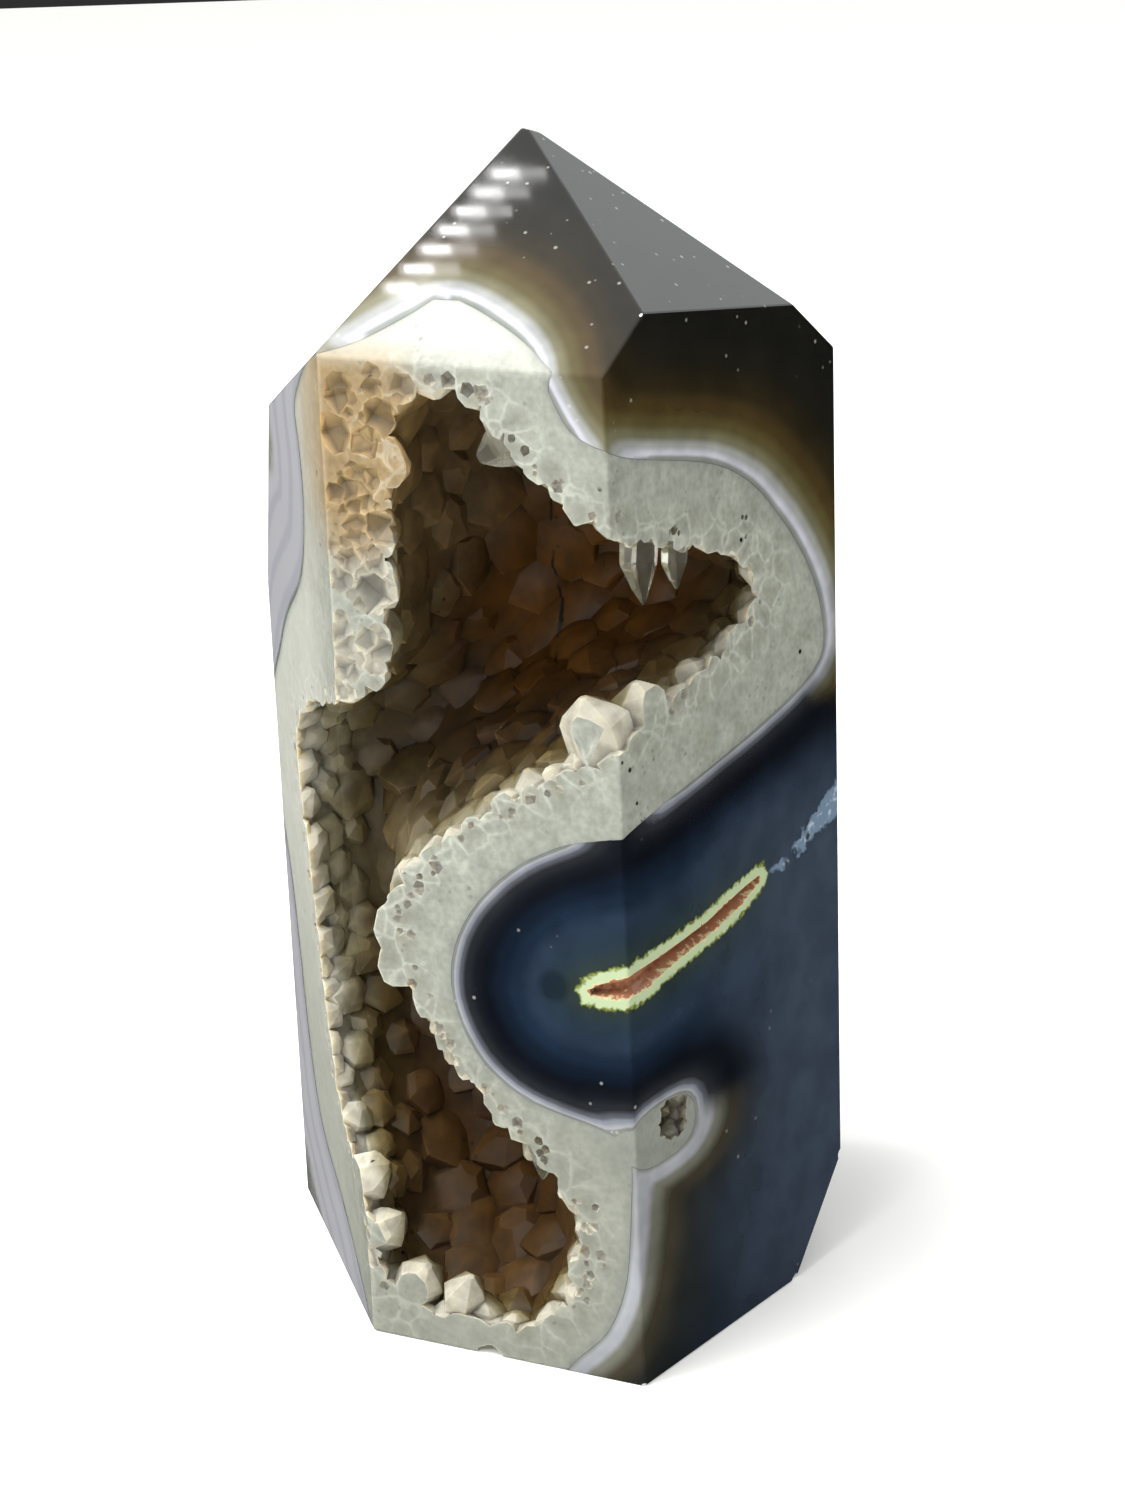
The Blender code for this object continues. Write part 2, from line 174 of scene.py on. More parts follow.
# Crystals that stand out: foot, pointing direction, length past the bed and radius, mm.
TALL_CRYSTALS = [
    ((5.4, -29.0, 64.6), (-0.25, -0.12, 0.96), 6.4, 3.1),
    ((9.6, -27.2, 66.0), (-0.34, 0.0, 0.94), 5.6, 2.7),
    ((19.0, -16.4, 69.6), (-0.6, -0.10, 0.78), 3.4, 1.7),
    ((-15.2, -23.6, 92.0), (0.94, -0.1, -0.15), 3.4, 2.3),
    ((-15.6, -22.6, 45.6), (-0.92, -0.1, 0.16), 2.9, 2.7),
    ((-15.8, -22.4, 41.4), (-0.95, -0.1, -0.1), 2.4, 2.4),
    ((1.8, -28.6, 20.4), (-0.86, -0.1, -0.35), 2.6, 1.8),
    ((-19.4, -18.0, 10.4), (0.74, -0.35, 0.4), 4.0, 2.6),
    ((-15.4, -20.0, 5.2), (0.40, -0.45, 0.75), 3.6, 2.6),
    ((-20.4, -16.0, 15.6), (0.80, -0.3, 0.3), 3.4, 2.2),
    ((-10.6, -21.6, 4.2), (0.10, -0.4, 0.9), 3.2, 2.3),
]

# Glassy crystals at the mouth: foot, pointing direction, length, radius and turn in degrees.
CLEAR_CRYSTALS = [
    ((9.5, -28.4, 86.2), (-0.04, -0.16, -1.0), 7.4, 2.35, 0),
    ((12.8, -24.6, 85.2), (-0.03, -0.12, -1.0), 6.2, 1.6, 20),
    ((-1.4, -28.2, 95.2), (-0.88, 0.05, -0.46), 5.8, 2.3, 10),
    ((-1.6, -28.0, 25.4), (-0.12, -0.10, -1.0), 4.6, 2.0, 5),
]

# The photo's camera: place in mm, then its downward pitch and its roll in degrees.
EYE = (1.36, -296.06, 152.07)
PITCH, ROLL = 18.0, 1.93


def linear(code):
    """An sRGB hex colour as linear numbers."""
    found = []
    for i in (1, 3, 5):
        value = int(code[i : i + 2], 16) / 255.0
        found.append(value / 12.92 if value <= 0.04045 else ((value + 0.055) / 1.055) ** 2.4)
    return tuple(found)


def colour(name, description, code):
    return FloatVectorProperty(
        name=name,
        description=description,
        default=linear(code),
        subtype="COLOR",
        size=3,
        min=0.0,
        max=1.0,
    )


def length(name, description, default):
    return FloatProperty(
        name=name, description=description, default=default, min=0.00005, unit="LENGTH"
    )


class GeodeSizes(bpy.types.PropertyGroup):
    cell: length("Cell", "Spacing of the fine grid over the polished faces", 0.0013)
    arris: length("Arris", "Width of the polished edge between two facets", 0.00022)
    fit: length("Fit", "Clearance between the quartz and the agate that it grew on", 0.00003)
    spacing: length("Crystal spacing", "Least distance between crystals at the mouth", 0.0021)
    spacing_deep: length("Deep crystal spacing", "Least distance between crystals inside", 0.0046)
    chamfer: FloatProperty(
        name="Crystal chamfer",
        description="Width of a crystal's worn edges as a share of its radius",
        default=0.035,
        min=0.01,
        max=0.2,
        subtype="FACTOR",
    )
    nicks: IntProperty(
        name="Nicks",
        description="How many small crystal faces roughen the rim of the mouth",
        default=220,
        min=0,
        subtype="UNSIGNED",
    )
    root: length("Crystal root", "How far a crystal reaches back into the quartz", 0.0016)
    seed: IntProperty(
        name="Seed",
        description="Start of the crystals' random order",
        default=7,
        min=0,
        subtype="UNSIGNED",
    )


class GeodeColours(bpy.types.PropertyGroup):
    core: colour("Core", "Dark agate away from the hollow", "#090c13")
    steel: colour("Steel blue", "Blue glow in the nodule round the seam", "#202b3a")
    slate: colour("Slate", "Grey-blue of the lower right of the stone", "#333c49")
    olive: colour("Olive brown", "Brown band outside the pale one", "#3b2f18")
    lavender: colour("Lavender white", "Pale band round the quartz", "#b0b1ba")
    lilac: colour("Lilac grey", "Broad pale agate on the left face", "#929299")
    hairline: colour("Hairline", "Thin grey line at the foot of the quartz", "#6d716e")
    fringe: colour("Seam fringe", "Green-white rim of the seam", "#a3b28f")
    moss: colour("Seam moss", "Yellow-green outer edge of the seam", "#6d7434")
    rust: colour("Seam rust", "Pink-brown inside of the seam", "#94654c")
    milk: colour("Milky quartz", "Quartz where it is cut and polished", "#91948a")
    honey: colour("Honey quartz", "Iron-stained quartz at the upper left", "#8f7446")
    tan: colour("Tan quartz", "Crystals a little way inside", "#5c5136")
    brown: colour("Brown quartz", "Crystals deep in the hollow", "#39240b")
    amber: colour("Amber glow", "Light coming through the back wall", "#64400f")
    floor: colour("Floor", "Pale studio floor", "#f7f7f4")


def normal_of(facet):
    """Outward unit normal of a facet."""
    turn, lean = math.radians(facet[0]), math.radians(facet[1])
    flat = math.cos(lean)
    return Vector((math.cos(turn) * flat, math.sin(turn) * flat, math.sin(lean)))


def front_y(x, z):
    """y of the front surface at x and z, mm."""
    found = []
    for facet in (FRONT_LEFT, FRONT_RIGHT, TOP_LEFT, TOP_RIGHT):
        n = normal_of(facet)
        found.append((n.dot(Vector(facet[2])) - n.x * x - n.z * z) / n.y)
    return max(found)


def left_x(y, z):
    """x of the left surface at y and z, mm."""
    found = []
    for facet in (LEFT, TOP_FAR_LEFT):
        n = normal_of(facet)
        found.append((n.dot(Vector(facet[2])) - n.y * y - n.z * z) / n.x)
    return max(found)


def deselect():
    """Leaves object mode with nothing selected."""
    if bpy.context.object and bpy.context.object.mode != "OBJECT":
        bpy.ops.object.mode_set(mode="OBJECT")
    bpy.ops.object.select_all(action="DESELECT")


def activate(obj):
    deselect()
    obj.select_set(True)
    bpy.context.view_layer.objects.active = obj


def object_from(name, bm, finishes=()):
    """Object from a bmesh whose points are in mm."""
    bmesh.ops.scale(bm, vec=(MM, MM, MM), verts=bm.verts)
    bmesh.ops.recalc_face_normals(bm, faces=bm.faces)
    mesh = bpy.data.meshes.new(name)
    bm.to_mesh(mesh)
    bm.free()
    for finish in finishes:
        mesh.materials.append(finish)
    obj = bpy.data.objects.new(name, mesh)
    bpy.context.scene.collection.objects.link(obj)
    return obj


def combine(target, other, operation, own_overlaps=False):
    """Applies a Boolean of another object to the target and removes that object."""
    activate(target)
    bpy.ops.object.modifier_add(type="BOOLEAN")
    step = target.modifiers[-1]
    step.operation = operation
    step.solver = "EXACT"
    step.use_self = own_overlaps
    step.material_mode = "INDEX"
    step.object = other
    bpy.ops.object.modifier_apply(modifier=step.name)
    bpy.data.objects.remove(other)


def give_finishes(obj, finishes, chosen):
    """Gives an object its material slots, with one of them on every face."""
    obj.data.materials.clear()
    for finish in finishes:
        obj.data.materials.append(finish)
    for face in obj.data.polygons:
        face.material_index = chosen
    return obj


def saw(place, normal, **settings):
    """Cuts the whole mesh in edit mode along a plane."""
    bpy.ops.mesh.select_all(action="SELECT")
    bpy.ops.mesh.bisect(plane_co=place, plane_no=normal, **settings)


def cut_block(name, sizes, foot, cell):
    """The block that the facets bound, sawn from a cube, with polished edges."""
    deselect()
    bpy.ops.mesh.primitive_cube_add(size=0.26)
    block = bpy.context.object
    block.name = name
    bpy.ops.object.mode_set(mode="EDIT")
    planes = [(Vector(facet[2]) * MM, normal_of(facet)) for facet in FACETS]
    planes.append((Vector((0.0, 0.0, foot)), Vector((0.0, 0.0, -1.0))))
    for point, normal in planes:
        saw(point, normal, use_fill=True, clear_outer=True)
    bpy.ops.mesh.select_all(action="SELECT")
    bpy.ops.mesh.bevel(offset=sizes.arris, segments=2, affect="EDGES")
    for axis, low, high in ((2, 0.0, 0.12), (0, -0.030, 0.030), (1, -0.033, 0.033)):
        count = int((high - low) / cell)
        for i in range(1, count):
            point = Vector((0.0, 0.0, 0.0))
            point[axis] = low + (high - low) * i / count
            normal = Vector((0.0, 0.0, 0.0))
            normal[axis] = 1.0
            saw(point, normal)
    bpy.ops.object.mode_set(mode="OBJECT")
    return block


def bezier(a, b, c, d, count):
    """Points on a cubic curve, without its last one."""
    found = []
    for i in range(count):
        t = i / count
        s = 1.0 - t
        found.append(a * s**3 + b * 3 * s * s * t + c * 3 * s * t * t + d * t**3)
    return found


def section(level, reach):
    """One closed level section: right exit, round the back, left exit, round outside the front."""
    z, side, place, deep, right = level
    b = Vector((right, front_y(right, z)))
    m = Vector(deep)
    if side == "left":
        a = Vector((left_x(place, z), place))
        inward = Vector((0.75, 0.66))
        outward = Vector((-0.96, -0.27))
    else:
        a = Vector((place, front_y(place, z)))
        inward = Vector((-0.12, 0.99))
        outward = Vector((-0.43, -0.90))
    rise_b = 0.55 * (m.y - b.y)
    rise_a = 0.45 * (m - a).length
    near_b = b + Vector((0.14, 0.99)) * rise_b
    near_a = a + inward * rise_a
    back = bezier(b, near_b, m + Vector((0.55 * (b.x - m.x), 0)), m, BACK_STEPS)
    left = bezier(m, m + Vector((0.5 * (a.x - m.x), 0)), near_a, a, LEFT_STEPS)
    a_out = a + outward * 4.0
    b_out = b + Vector((0.6, -0.8)) * 4.0
    hub = Vector((0.0, -3.0))
    first = math.atan2(a_out.y - hub.y, a_out.x - hub.x) % math.tau
    last = math.atan2(b_out.y - hub.y, b_out.x - hub.x) % math.tau
    around = []
    for i in range(6):
        turn = first + (last - first) * i / 5
        around.append(hub + Vector((math.cos(turn), math.sin(turn))) * reach)
    return [Vector((p.x, p.y, z)) for p in back + left + [a, a_out] + around + [b_out]]


def loft_rings(levels, reach, between):
    """Rings of points through level sections, with smooth ones between them."""
    keys = [section(level, reach) for level in levels]
    rings = []
    for k in range(len(keys) - 1):
        before = keys[max(k - 1, 0)]
        after = keys[min(k + 2, len(keys) - 1)]
        rings.append(keys[k])
        for j in range(1, between + 1):
            t = j / (between + 1)
            h = t * t * (3 - 2 * t)
            ring = []
            for i in range(len(keys[k])):
                p, q = keys[k][i], keys[k + 1][i]
                rise = q.z - p.z
                slope_p = (q - before[i]) / max(q.z - before[i].z, 0.1) * rise
                slope_q = (after[i] - p) / max(after[i].z - p.z, 0.1) * rise
                point = p * (1 - h) + q * h
                point += slope_p * (t * (1 - t) ** 2) * 0.6 - slope_q * (t * t * (1 - t)) * 0.6
                point.z = p.z + rise * t
                ring.append(point)
            rings.append(ring)
    rings.append(keys[-1])
    points = np.array(rings)
    for _ in range(ROUNDING):
        points[1:-1] = 0.25 * points[:-2] + 0.5 * points[1:-1] + 0.25 * points[2:]
    return [[Vector(point) for point in ring] for ring in points]


def close_rings(bm, rings):
    """Joins rings of points, which are in order, to a closed body."""
    rows = [[bm.verts.new(point) for point in ring] for ring in rings]
    count = len(rows[0])
    for low, high in zip(rows, rows[1:]):
        for i in range(count):
            j = (i + 1) % count
            bm.faces.new((low[i], low[j], high[j], high[i]))
    bm.faces.new(reversed(rows[0]))
    bm.faces.new(rows[-1])


def loft(name, levels, reach, between, inset=0.0):
    """Closed body through level sections."""
    bm = bmesh.new()
    close_rings(bm, loft_rings(levels, reach, between))
    bmesh.ops.recalc_face_normals(bm, faces=bm.faces)
    if inset:
        bm.normal_update()
        moved = [(vert, vert.co - vert.normal * inset) for vert in bm.verts]
        for vert, place in moved:
            vert.co = place
    return object_from(name, bm)


def pebble(name, centre, half, inset=0.0):
    """A rounded lump lying along the front right facet."""
    deselect()
    bpy.ops.mesh.primitive_ico_sphere_add(subdivisions=4, radius=1.0)
    lump = bpy.context.object
    lump.name = name
    turn = Matrix.Rotation(math.radians(90.0 + FRONT_RIGHT[0]), 3, "Z")
    for vert in lump.data.vertices:
        size = sum(abs(c) ** BOXINESS for c in vert.co) ** (1 / BOXINESS)
        stretched = Vector([c / size * (h - inset) for c, h in zip(vert.co, half)])
        vert.co = (turn @ stretched + Vector(centre)) * MM
    return lump


def seam_line():
    """Points, surface normals and half heights along the seam."""
    found = []
    for (x, z), half in SEAM:
        n = normal_of(FRONT_LEFT if x < FRONT_EDGE else FRONT_RIGHT)
        if abs(x - FRONT_EDGE) < 0.5:
            n = (normal_of(FRONT_LEFT) + normal_of(FRONT_RIGHT)).normalized()
        found.append((Vector((x, front_y(x, z), z)), n, half))
    return found


def seam_cutter():
    """A shallow lens along the seam, bent over the front edge."""
    bm = bmesh.new()
    rings = []
    for on, n, half in seam_line():
        up = Vector((0.0, 0.0, half))
        floor = on - n * SEAM_DEPTH
        out = on + n * 1.5
        rings.append((out + up, on + up, floor + up * 0.3, floor - up * 0.3, on - up, out - up))
    close_rings(bm, rings)
    return object_from("seam_cutter", bm)


def quartz_point(name, rings, finishes, chamfer=0.0):
    """A six-sided crystal of radius 1, in finish 1, with its prism below height 0."""
    deselect()
    bpy.ops.mesh.primitive_cylinder_add(vertices=6, radius=1.0, depth=1.0, location=(0, 0, -0.5))
    point = bpy.context.object
    point.name = name
    bpy.ops.object.transform_apply(location=True, rotation=True, scale=True)
    give_finishes(point, finishes, 1)
    bpy.ops.object.mode_set(mode="EDIT")
    bpy.ops.mesh.select_mode(type="FACE")
    bm = bmesh.from_edit_mesh(point.data)
    for face in bm.faces:
        face.select_set(face.normal.z > 0.9)
    bmesh.update_edit_mesh(point.data)
    was = (0.0, 1.0, 0.0)
    for height, radius, lean in rings:
        step = (lean - was[2], 0.0, height - was[0])
        size = radius / was[1]
        bpy.ops.mesh.extrude_region_move(TRANSFORM_OT_translate={"value": step})
        bpy.ops.transform.resize(value=(size, size, 1.0), center_override=(lean, 0.0, height))
        was = (height, radius, lean)
    if chamfer:
        bpy.ops.mesh.select_mode(type="EDGE")
        bm = bmesh.from_edit_mesh(point.data)
        for edge in bm.edges:
            edge.select_set(max(vert.co.z for vert in edge.verts) > -0.5)
        bmesh.update_edit_mesh(point.data)
        bpy.ops.mesh.bevel(offset=chamfer, segments=1, affect="EDGES", material=1)
    bpy.ops.object.mode_set(mode="OBJECT")
    return point


def aimed(axis, spin):
    """Turn that points a crystal along an axis, after a spin about its own, in radians."""
    return axis.to_track_quat("Z", "Y").to_matrix() @ Matrix.Rotation(spin, 3, "Z")


def stamp(bm, obj, move):
    """Adds a copy of an object's mesh, with a function that moves each of its points."""
    copy = obj.data.copy()
    for vert in copy.vertices:
        vert.co = move(vert.co)
    bm.from_mesh(copy)
    bpy.data.meshes.remove(copy)


def inside_block(point, margin):
    """Whether a point lies within the facets, or at most margin beyond one, mm."""
    for facet in FACETS:
        if normal_of(facet).dot(point - Vector(facet[2])) > margin:
            return False
    return point.z > -margin


def depth_of(point):
    """Depth below the nearest of the polished faces that the hollow opens through, mm."""
    depths = []
    for facet in (FRONT_LEFT, FRONT_RIGHT, LEFT, TOP_LEFT):
        depths.append(normal_of(facet).dot(Vector(facet[2]) - point))
    return max(min(depths), 0.0)


def wall_samples(obj, sizes):
    """Points spread over the walls of the open space: place, outward normal, crystal radius."""
    rng = np.random.default_rng(sizes.seed)
    mesh = obj.data
    mesh.calc_loop_triangles()
    tris = mesh.loop_triangles
    corners = [[mesh.vertices[i].co / MM for i in tri.vertices] for tri in tris]
    normals = [Vector(tri.normal) for tri in tris]
    areas = []
    for triangle, tri in zip(corners, tris):
        near = inside_block(sum(triangle, Vector()) / 3, 4.0)
        areas.append(tri.area if near else 0.0)
    areas = np.array(areas)
    picks = rng.choice(len(corners), size=TRIES, p=areas / areas.sum())
    cell = sizes.spacing_deep / MM
    cells = {}
    kept = []
    for pick in picks:
        u, v = rng.random(2)
        if u + v > 1:
            u, v = 1 - u, 1 - v
        a, b, c = corners[pick]
        point = a + (b - a) * u + (c - a) * v
        if not inside_block(point, 1.0):
            continue
        inward = min(depth_of(point) / 12.0, 1.0)
        spacing = (sizes.spacing + (sizes.spacing_deep - sizes.spacing) * inward) / MM
        if (point - Vector(PIT_CENTRE)).length < 6.0:
            spacing *= 0.42
        home = tuple(int(math.floor(part / cell)) for part in point)
        around = product(*((at - 1, at, at + 1) for at in home))
        near = (other for place in around for other in cells.get(place, ()))
        if any((point - other).length < spacing for other in near):
            continue
        cells.setdefault(home, []).append(point)
        kept.append((point, normals[pick], spacing * rng.uniform(0.55, 1.0)))
    return kept


def crystal_field(space, sizes, finishes):
    """All the crystals of the hollow, copied from three quartz points, as one mesh."""
    rng = np.random.default_rng(sizes.seed)
    makes = [quartz_point(name, rings, finishes) for name, rings in GROWN_TIPS.items()]
    wanted = [(Vector(foot), Vector(axis), *rest, 1) for foot, axis, *rest in TALL_CRYSTALS]
    for foot, normal, radius in wall_samples(space, sizes):
        tilt = Vector(rng.normal(0.0, 0.16, 3)) + Vector((0.0, 0.0, 0.25))
        deep = min(max((depth_of(foot) - 2.0) / 8.0, 0.0), 1.0)
        reach = radius * rng.uniform(0.40, 0.80) * (1.0 - 0.45 * deep)
        wanted.append((foot, tilt - normal, reach, radius, int(rng.integers(3))))
    bm = bmesh.new()
    for foot, axis, reach, radius, make in wanted:
        tip = max(vert.co.z for vert in makes[make].data.vertices)
        height = min(tip * radius, 0.95 * reach)
        root = sizes.root / MM + reach - height
        turn = aimed(axis, rng.uniform(0, 1.05))
        wide = radius * rng.uniform(0.85, 1.3)
        slant = Vector((*rng.uniform(-0.35, 0.35, 2), 0.0))

        def move(co):
            z = co.z * height / tip if co.z > 0 else co.z * root
            place = Vector((co.x * wide, co.y * radius, z))
            place += slant * max(place.z, 0.0)
            return turn @ (place + Vector((0.0, 0.0, reach - height))) + foot

        stamp(bm, makes[make], move)
    for make in makes:
        bpy.data.objects.remove(make)
    return object_from("crystal_field", bm, finishes)


def rim_nicks(space, sizes, finishes):
    """Small crystal-shaped nicks that roughen the cut quartz round the hollow's mouth."""
    rng = np.random.default_rng(sizes.seed + 1)
    tree = BVHTree.FromPolygons(
        [vert.co / MM for vert in space.data.vertices],
        [tuple(face.vertices) for face in space.data.polygons],
    )
    make = quartz_point("nick", NICK_TIP, finishes)
    bm = bmesh.new()
    made = 0
    while made < sizes.nicks:
        facet = (FRONT_LEFT, FRONT_LEFT, LEFT, FRONT_RIGHT)[int(rng.integers(4))]
        n = normal_of(facet)
        x, y, z = rng.uniform(-28.0, 26.0), rng.uniform(-20.0, 8.0), rng.uniform(5.0, 104.0)
        on = Vector((left_x(y, z), y, z)) if facet is LEFT else Vector((x, front_y(x, z), z))
        if abs(n.dot(on - Vector(facet[2]))) > 0.05 or not inside_block(on, 0.1):
            continue
        hit, outward, _, away = tree.find_nearest(on)
        outside = (on - hit).dot(outward) > 0
        corner = x < -11.5 and (z > 68.0 or z < 15.0) and facet is FRONT_LEFT
        reach = 7.5 if corner else 1.1
        if not outside or away > reach * rng.random() ** 0.6:
            continue
        radius = rng.uniform(0.3, 0.9) * (2.8 if corner else 1.0)
        deep = radius * (rng.uniform(0.06, 0.18) if corner else rng.uniform(0.10, 0.34))
        tilt = Vector(rng.normal(0.0, 0.35, 3))
        turn = aimed(tilt - n, rng.uniform(0, 1.05))
        sunk = Vector((0, 0, deep - NICK_TIP[0][0] * radius))
        stamp(bm, make, lambda co: turn @ (co * radius + sunk) + on)
        made += 1
    bpy.data.objects.remove(make)
    return object_from("rim_nicks", bm, finishes)


def clear_point(name, crystal, sizes, finishes):
    """One glassy crystal at the mouth, sawn off where it meets a polished facet."""
    foot, axis, reach, radius, turn = crystal
    point = quartz_point(name, CLEAR_TIP, finishes, sizes.chamfer)
    turned = aimed(Vector(axis), math.radians(turn))
    prism = reach - CLEAR_TIP[-1][0] * radius
    for vert in point.data.vertices:
        x, y, z = vert.co
        rise = z * radius + prism if z > -0.5 else 0.0
        vert.co = (turned @ Vector((x * radius, y * radius, rise)) + Vector(foot)) * MM
    activate(point)
    bpy.ops.object.mode_set(mode="EDIT")
    for facet in (FRONT_LEFT, FRONT_RIGHT, LEFT, TOP_LEFT):
        n = normal_of(facet)
        saw(Vector(facet[2]) * MM - n * 0.00002, n, use_fill=True, clear_outer=True)
    bpy.ops.object.mode_set(mode="OBJECT")
    for face in point.data.polygons:
        face.material_index = max(face.material_index, 1)
    return point


def chip(name, centre, radius, finishes, chosen):
    """A lumpy cutter that leaves a small shell-shaped break."""
    deselect()
    bpy.ops.mesh.primitive_ico_sphere_add(subdivisions=3, radius=radius * MM)
    lump = bpy.context.object
    lump.name = name
    rng = np.random.default_rng(int(radius * 1000))
    for vert in lump.data.vertices:
        vert.co = vert.co * rng.uniform(0.94, 1.05) + Vector(centre) * MM
    return give_finishes(lump, finishes, chosen)


def soften(obj):
    """Shades grown faces smooth where they nearly line up and keeps the polished ones flat."""
    activate(obj)
    bpy.ops.object.shade_smooth_by_angle(angle=math.radians(SMOOTH_ANGLE))
    for face in obj.data.polygons:
        if face.material_index == 0:
            face.use_smooth = False


def keep_largest(obj):
    """Leaves only the largest connected body."""
    activate(obj)
    bpy.ops.object.mode_set(mode="EDIT")
    bpy.ops.mesh.select_all(action="SELECT")
    bpy.ops.mesh.remove_doubles(threshold=1e-7)
    bpy.ops.object.mode_set(mode="OBJECT")
    bm = bmesh.new()
    bm.from_mesh(obj.data)
    left = set(bm.verts)
    bodies = []
    while left:
        start = left.pop()
        body = {start}
        edge = [start]
        while edge:
            vert = edge.pop()
            for link in vert.link_edges:
                other = link.other_vert(vert)
                if other in left:
                    left.discard(other)
                    body.add(other)
                    edge.append(other)
        bodies.append(body)
    bodies.sort(key=len)
    for body in bodies[:-1]:
        bmesh.ops.delete(bm, geom=list(body), context="VERTS")
    bm.to_mesh(obj.data)
    bm.free()


def wall_tree(levels):
    """Search tree of a loft's walls, without its part outside the stone, mm."""
    rings = loft_rings(levels, BED_REACH, BED_BETWEEN)
    points = [point for ring in rings for point in ring[:WALL_POINTS]]
    top = len(points) - WALL_POINTS
    faces = []
    for k in range(0, top, WALL_POINTS):
        for at in range(k, k + WALL_POINTS - 1):
            faces.append((at, at + 1, at + WALL_POINTS + 1, at + WALL_POINTS))
    cap = len(points)
    faces.extend((at, at + 1, cap) for at in range(top, cap - 1))
    points.append(sum(rings[-1][:WALL_POINTS], Vector()) / WALL_POINTS)
    return BVHTree.FromPolygons(points, faces)


def pocket_distance(point):
    """Rough distance from the small pocket's bed, mm."""
    turn = Matrix.Rotation(-math.radians(90.0 + FRONT_RIGHT[0]), 3, "Z")
    local = turn @ (point - Vector(POCKET_CENTRE))
    scaled = [abs(c) / h for c, h in zip(local, POCKET_BED)]
    size = sum(c**BOXINESS for c in scaled) ** (1 / BOXINESS)
    return (size - 1.0) * min(POCKET_BED)


def nearest_share(point, a, b):
    """How far along the line from a to b its nearest place to a point lies, 0 to 1."""
    return min(max((point - a).dot(b - a) / (b - a).length_squared, 0.0), 1.0)


def measure_stone(obj):
    """Writes each vertex's distance from the mouth, the bed, the seam, the vein and the faces."""
    bed, mouth, seam = wall_tree(BED), wall_tree(SPACE), seam_line()
    vein = [Vector((x, front_y(x, z), z)) for x, z in VEIN]
    found = {"mouth_mm": [], "vein_mm": [], "bed_mm": [], "seam_mm": [], "depth_mm": []}
    for vert in obj.data.vertices:
        point = vert.co / MM
        to_seam, to_vein = [], []
        for (a, n, half_a), (b, _, half_b) in zip(seam, seam[1:]):
            t = nearest_share(point, a, b)
            off = point - a.lerp(b, t)
            below = max(-SEAM_SEEN, min(SEAM_SEEN, off.dot(n)))
            to_seam.append((off - n * below).length - (half_a * (1 - t) + half_b * t))
        for a, b in zip(vein, vein[1:]):
            to_vein.append((point - a.lerp(b, nearest_share(point, a, b))).length)
        found["mouth_mm"].append(mouth.find_nearest(point)[3])
        found["vein_mm"].append(min(to_vein))
        found["bed_mm"].append(min(bed.find_nearest(point)[3], max(pocket_distance(point), 0.0)))
        found["seam_mm"].append(min(to_seam))
        found["depth_mm"].append(depth_of(point))
    for name, values in found.items():
        made = obj.data.attributes.new(name, "FLOAT", "POINT")
        made.data.foreach_set("value", np.array(values, dtype=np.float32))


# Settings of a range that starts and ends softly.
SOFT = {"interpolation_type": "SMOOTHSTEP"}


def add(tree, kind, inputs=(), operation=None, **settings):
    """Adds a node with its settings; an input that is a node or an output is linked.

    The inputs are a dictionary by name or number, or the first ones in their order.
    """
    made = tree.nodes.new("ShaderNode" + kind)
    if operation:
        made.operation = operation
    for name, value in settings.items():
        setattr(made, name, value)
    for name, value in inputs.items() if isinstance(inputs, dict) else enumerate(inputs):
        if isinstance(value, bpy.types.Node):
            value = next(output for output in value.outputs if output.enabled)
        if isinstance(value, bpy.types.NodeSocket):
            tree.links.new(value, made.inputs[name])
        else:
            made.inputs[name].default_value = value
    return made


def material(name, surface, colours):
    """A material whose surface takes its inputs from a function of tree, place and colours."""
    made = bpy.data.materials.new(name)
    made.use_nodes = True
    tree = made.node_tree
    tree.nodes.clear()
    inputs = surface(tree, add(tree, "TexCoord").outputs["Object"], colours)
    add(tree, "OutputMaterial", (add(tree, "BsdfPrincipled", inputs),))
    return made


def grey(value):
    return (value, value, value)


def opaque(shade):
    """A colour with full alpha, from a hex code or a tuple."""
    return (*(linear(shade) if isinstance(shade, str) else shade), 1.0)


def colour_by(tree, distance, reach, stops, interpolation="EASE"):
    """Colour bands over a distance; stops are (distance, hex code or tuple)."""
    along = add(tree, "MapRange", (distance, 0.0, reach))
    ramp = add(tree, "ValToRGB", (along,))
    strip = ramp.color_ramp
    strip.interpolation = interpolation
    strip.elements.remove(strip.elements[-1])
    for i, (at, shade) in enumerate(stops):
        stop = strip.elements[0] if i == 0 else strip.elements.new(at / reach)
        stop.position = at / reach
        stop.color = opaque(shade)
    return ramp


def layered(tree, shade, layers):
    """Lays colours over a shade, in order. Each is (factors of its share, colour).

    A colour without factors multiplies what lies beneath it.
    """
    for factors, over in layers:
        share = factors[0] if factors else 1.0
        for factor in factors[1:]:
            share = add(tree, "Math", (share, factor), "MULTIPLY")
        over = over if isinstance(over, bpy.types.Node) else opaque(over)
        blend = "MIX" if factors else "MULTIPLY"
        inputs = {0: share, 6: shade, 7: over}
        shade = add(tree, "Mix", inputs, data_type="RGBA", blend_type=blend)
    return shade


def soft_ball(tree, place, centre, radius, ragged):
    """1 inside a ball with a ragged soft edge, 0 outside; centre and radius in mm."""
    away = add(tree, "VectorMath", (place, Vector(centre) * MM), "DISTANCE").outputs["Value"]
    rough = add(tree, "Math", (ragged, 0.9 * radius * MM, away), "MULTIPLY_ADD")
    return add(tree, "MapRange", (rough, 1.6 * radius * MM, 0.7 * radius * MM), **SOFT)


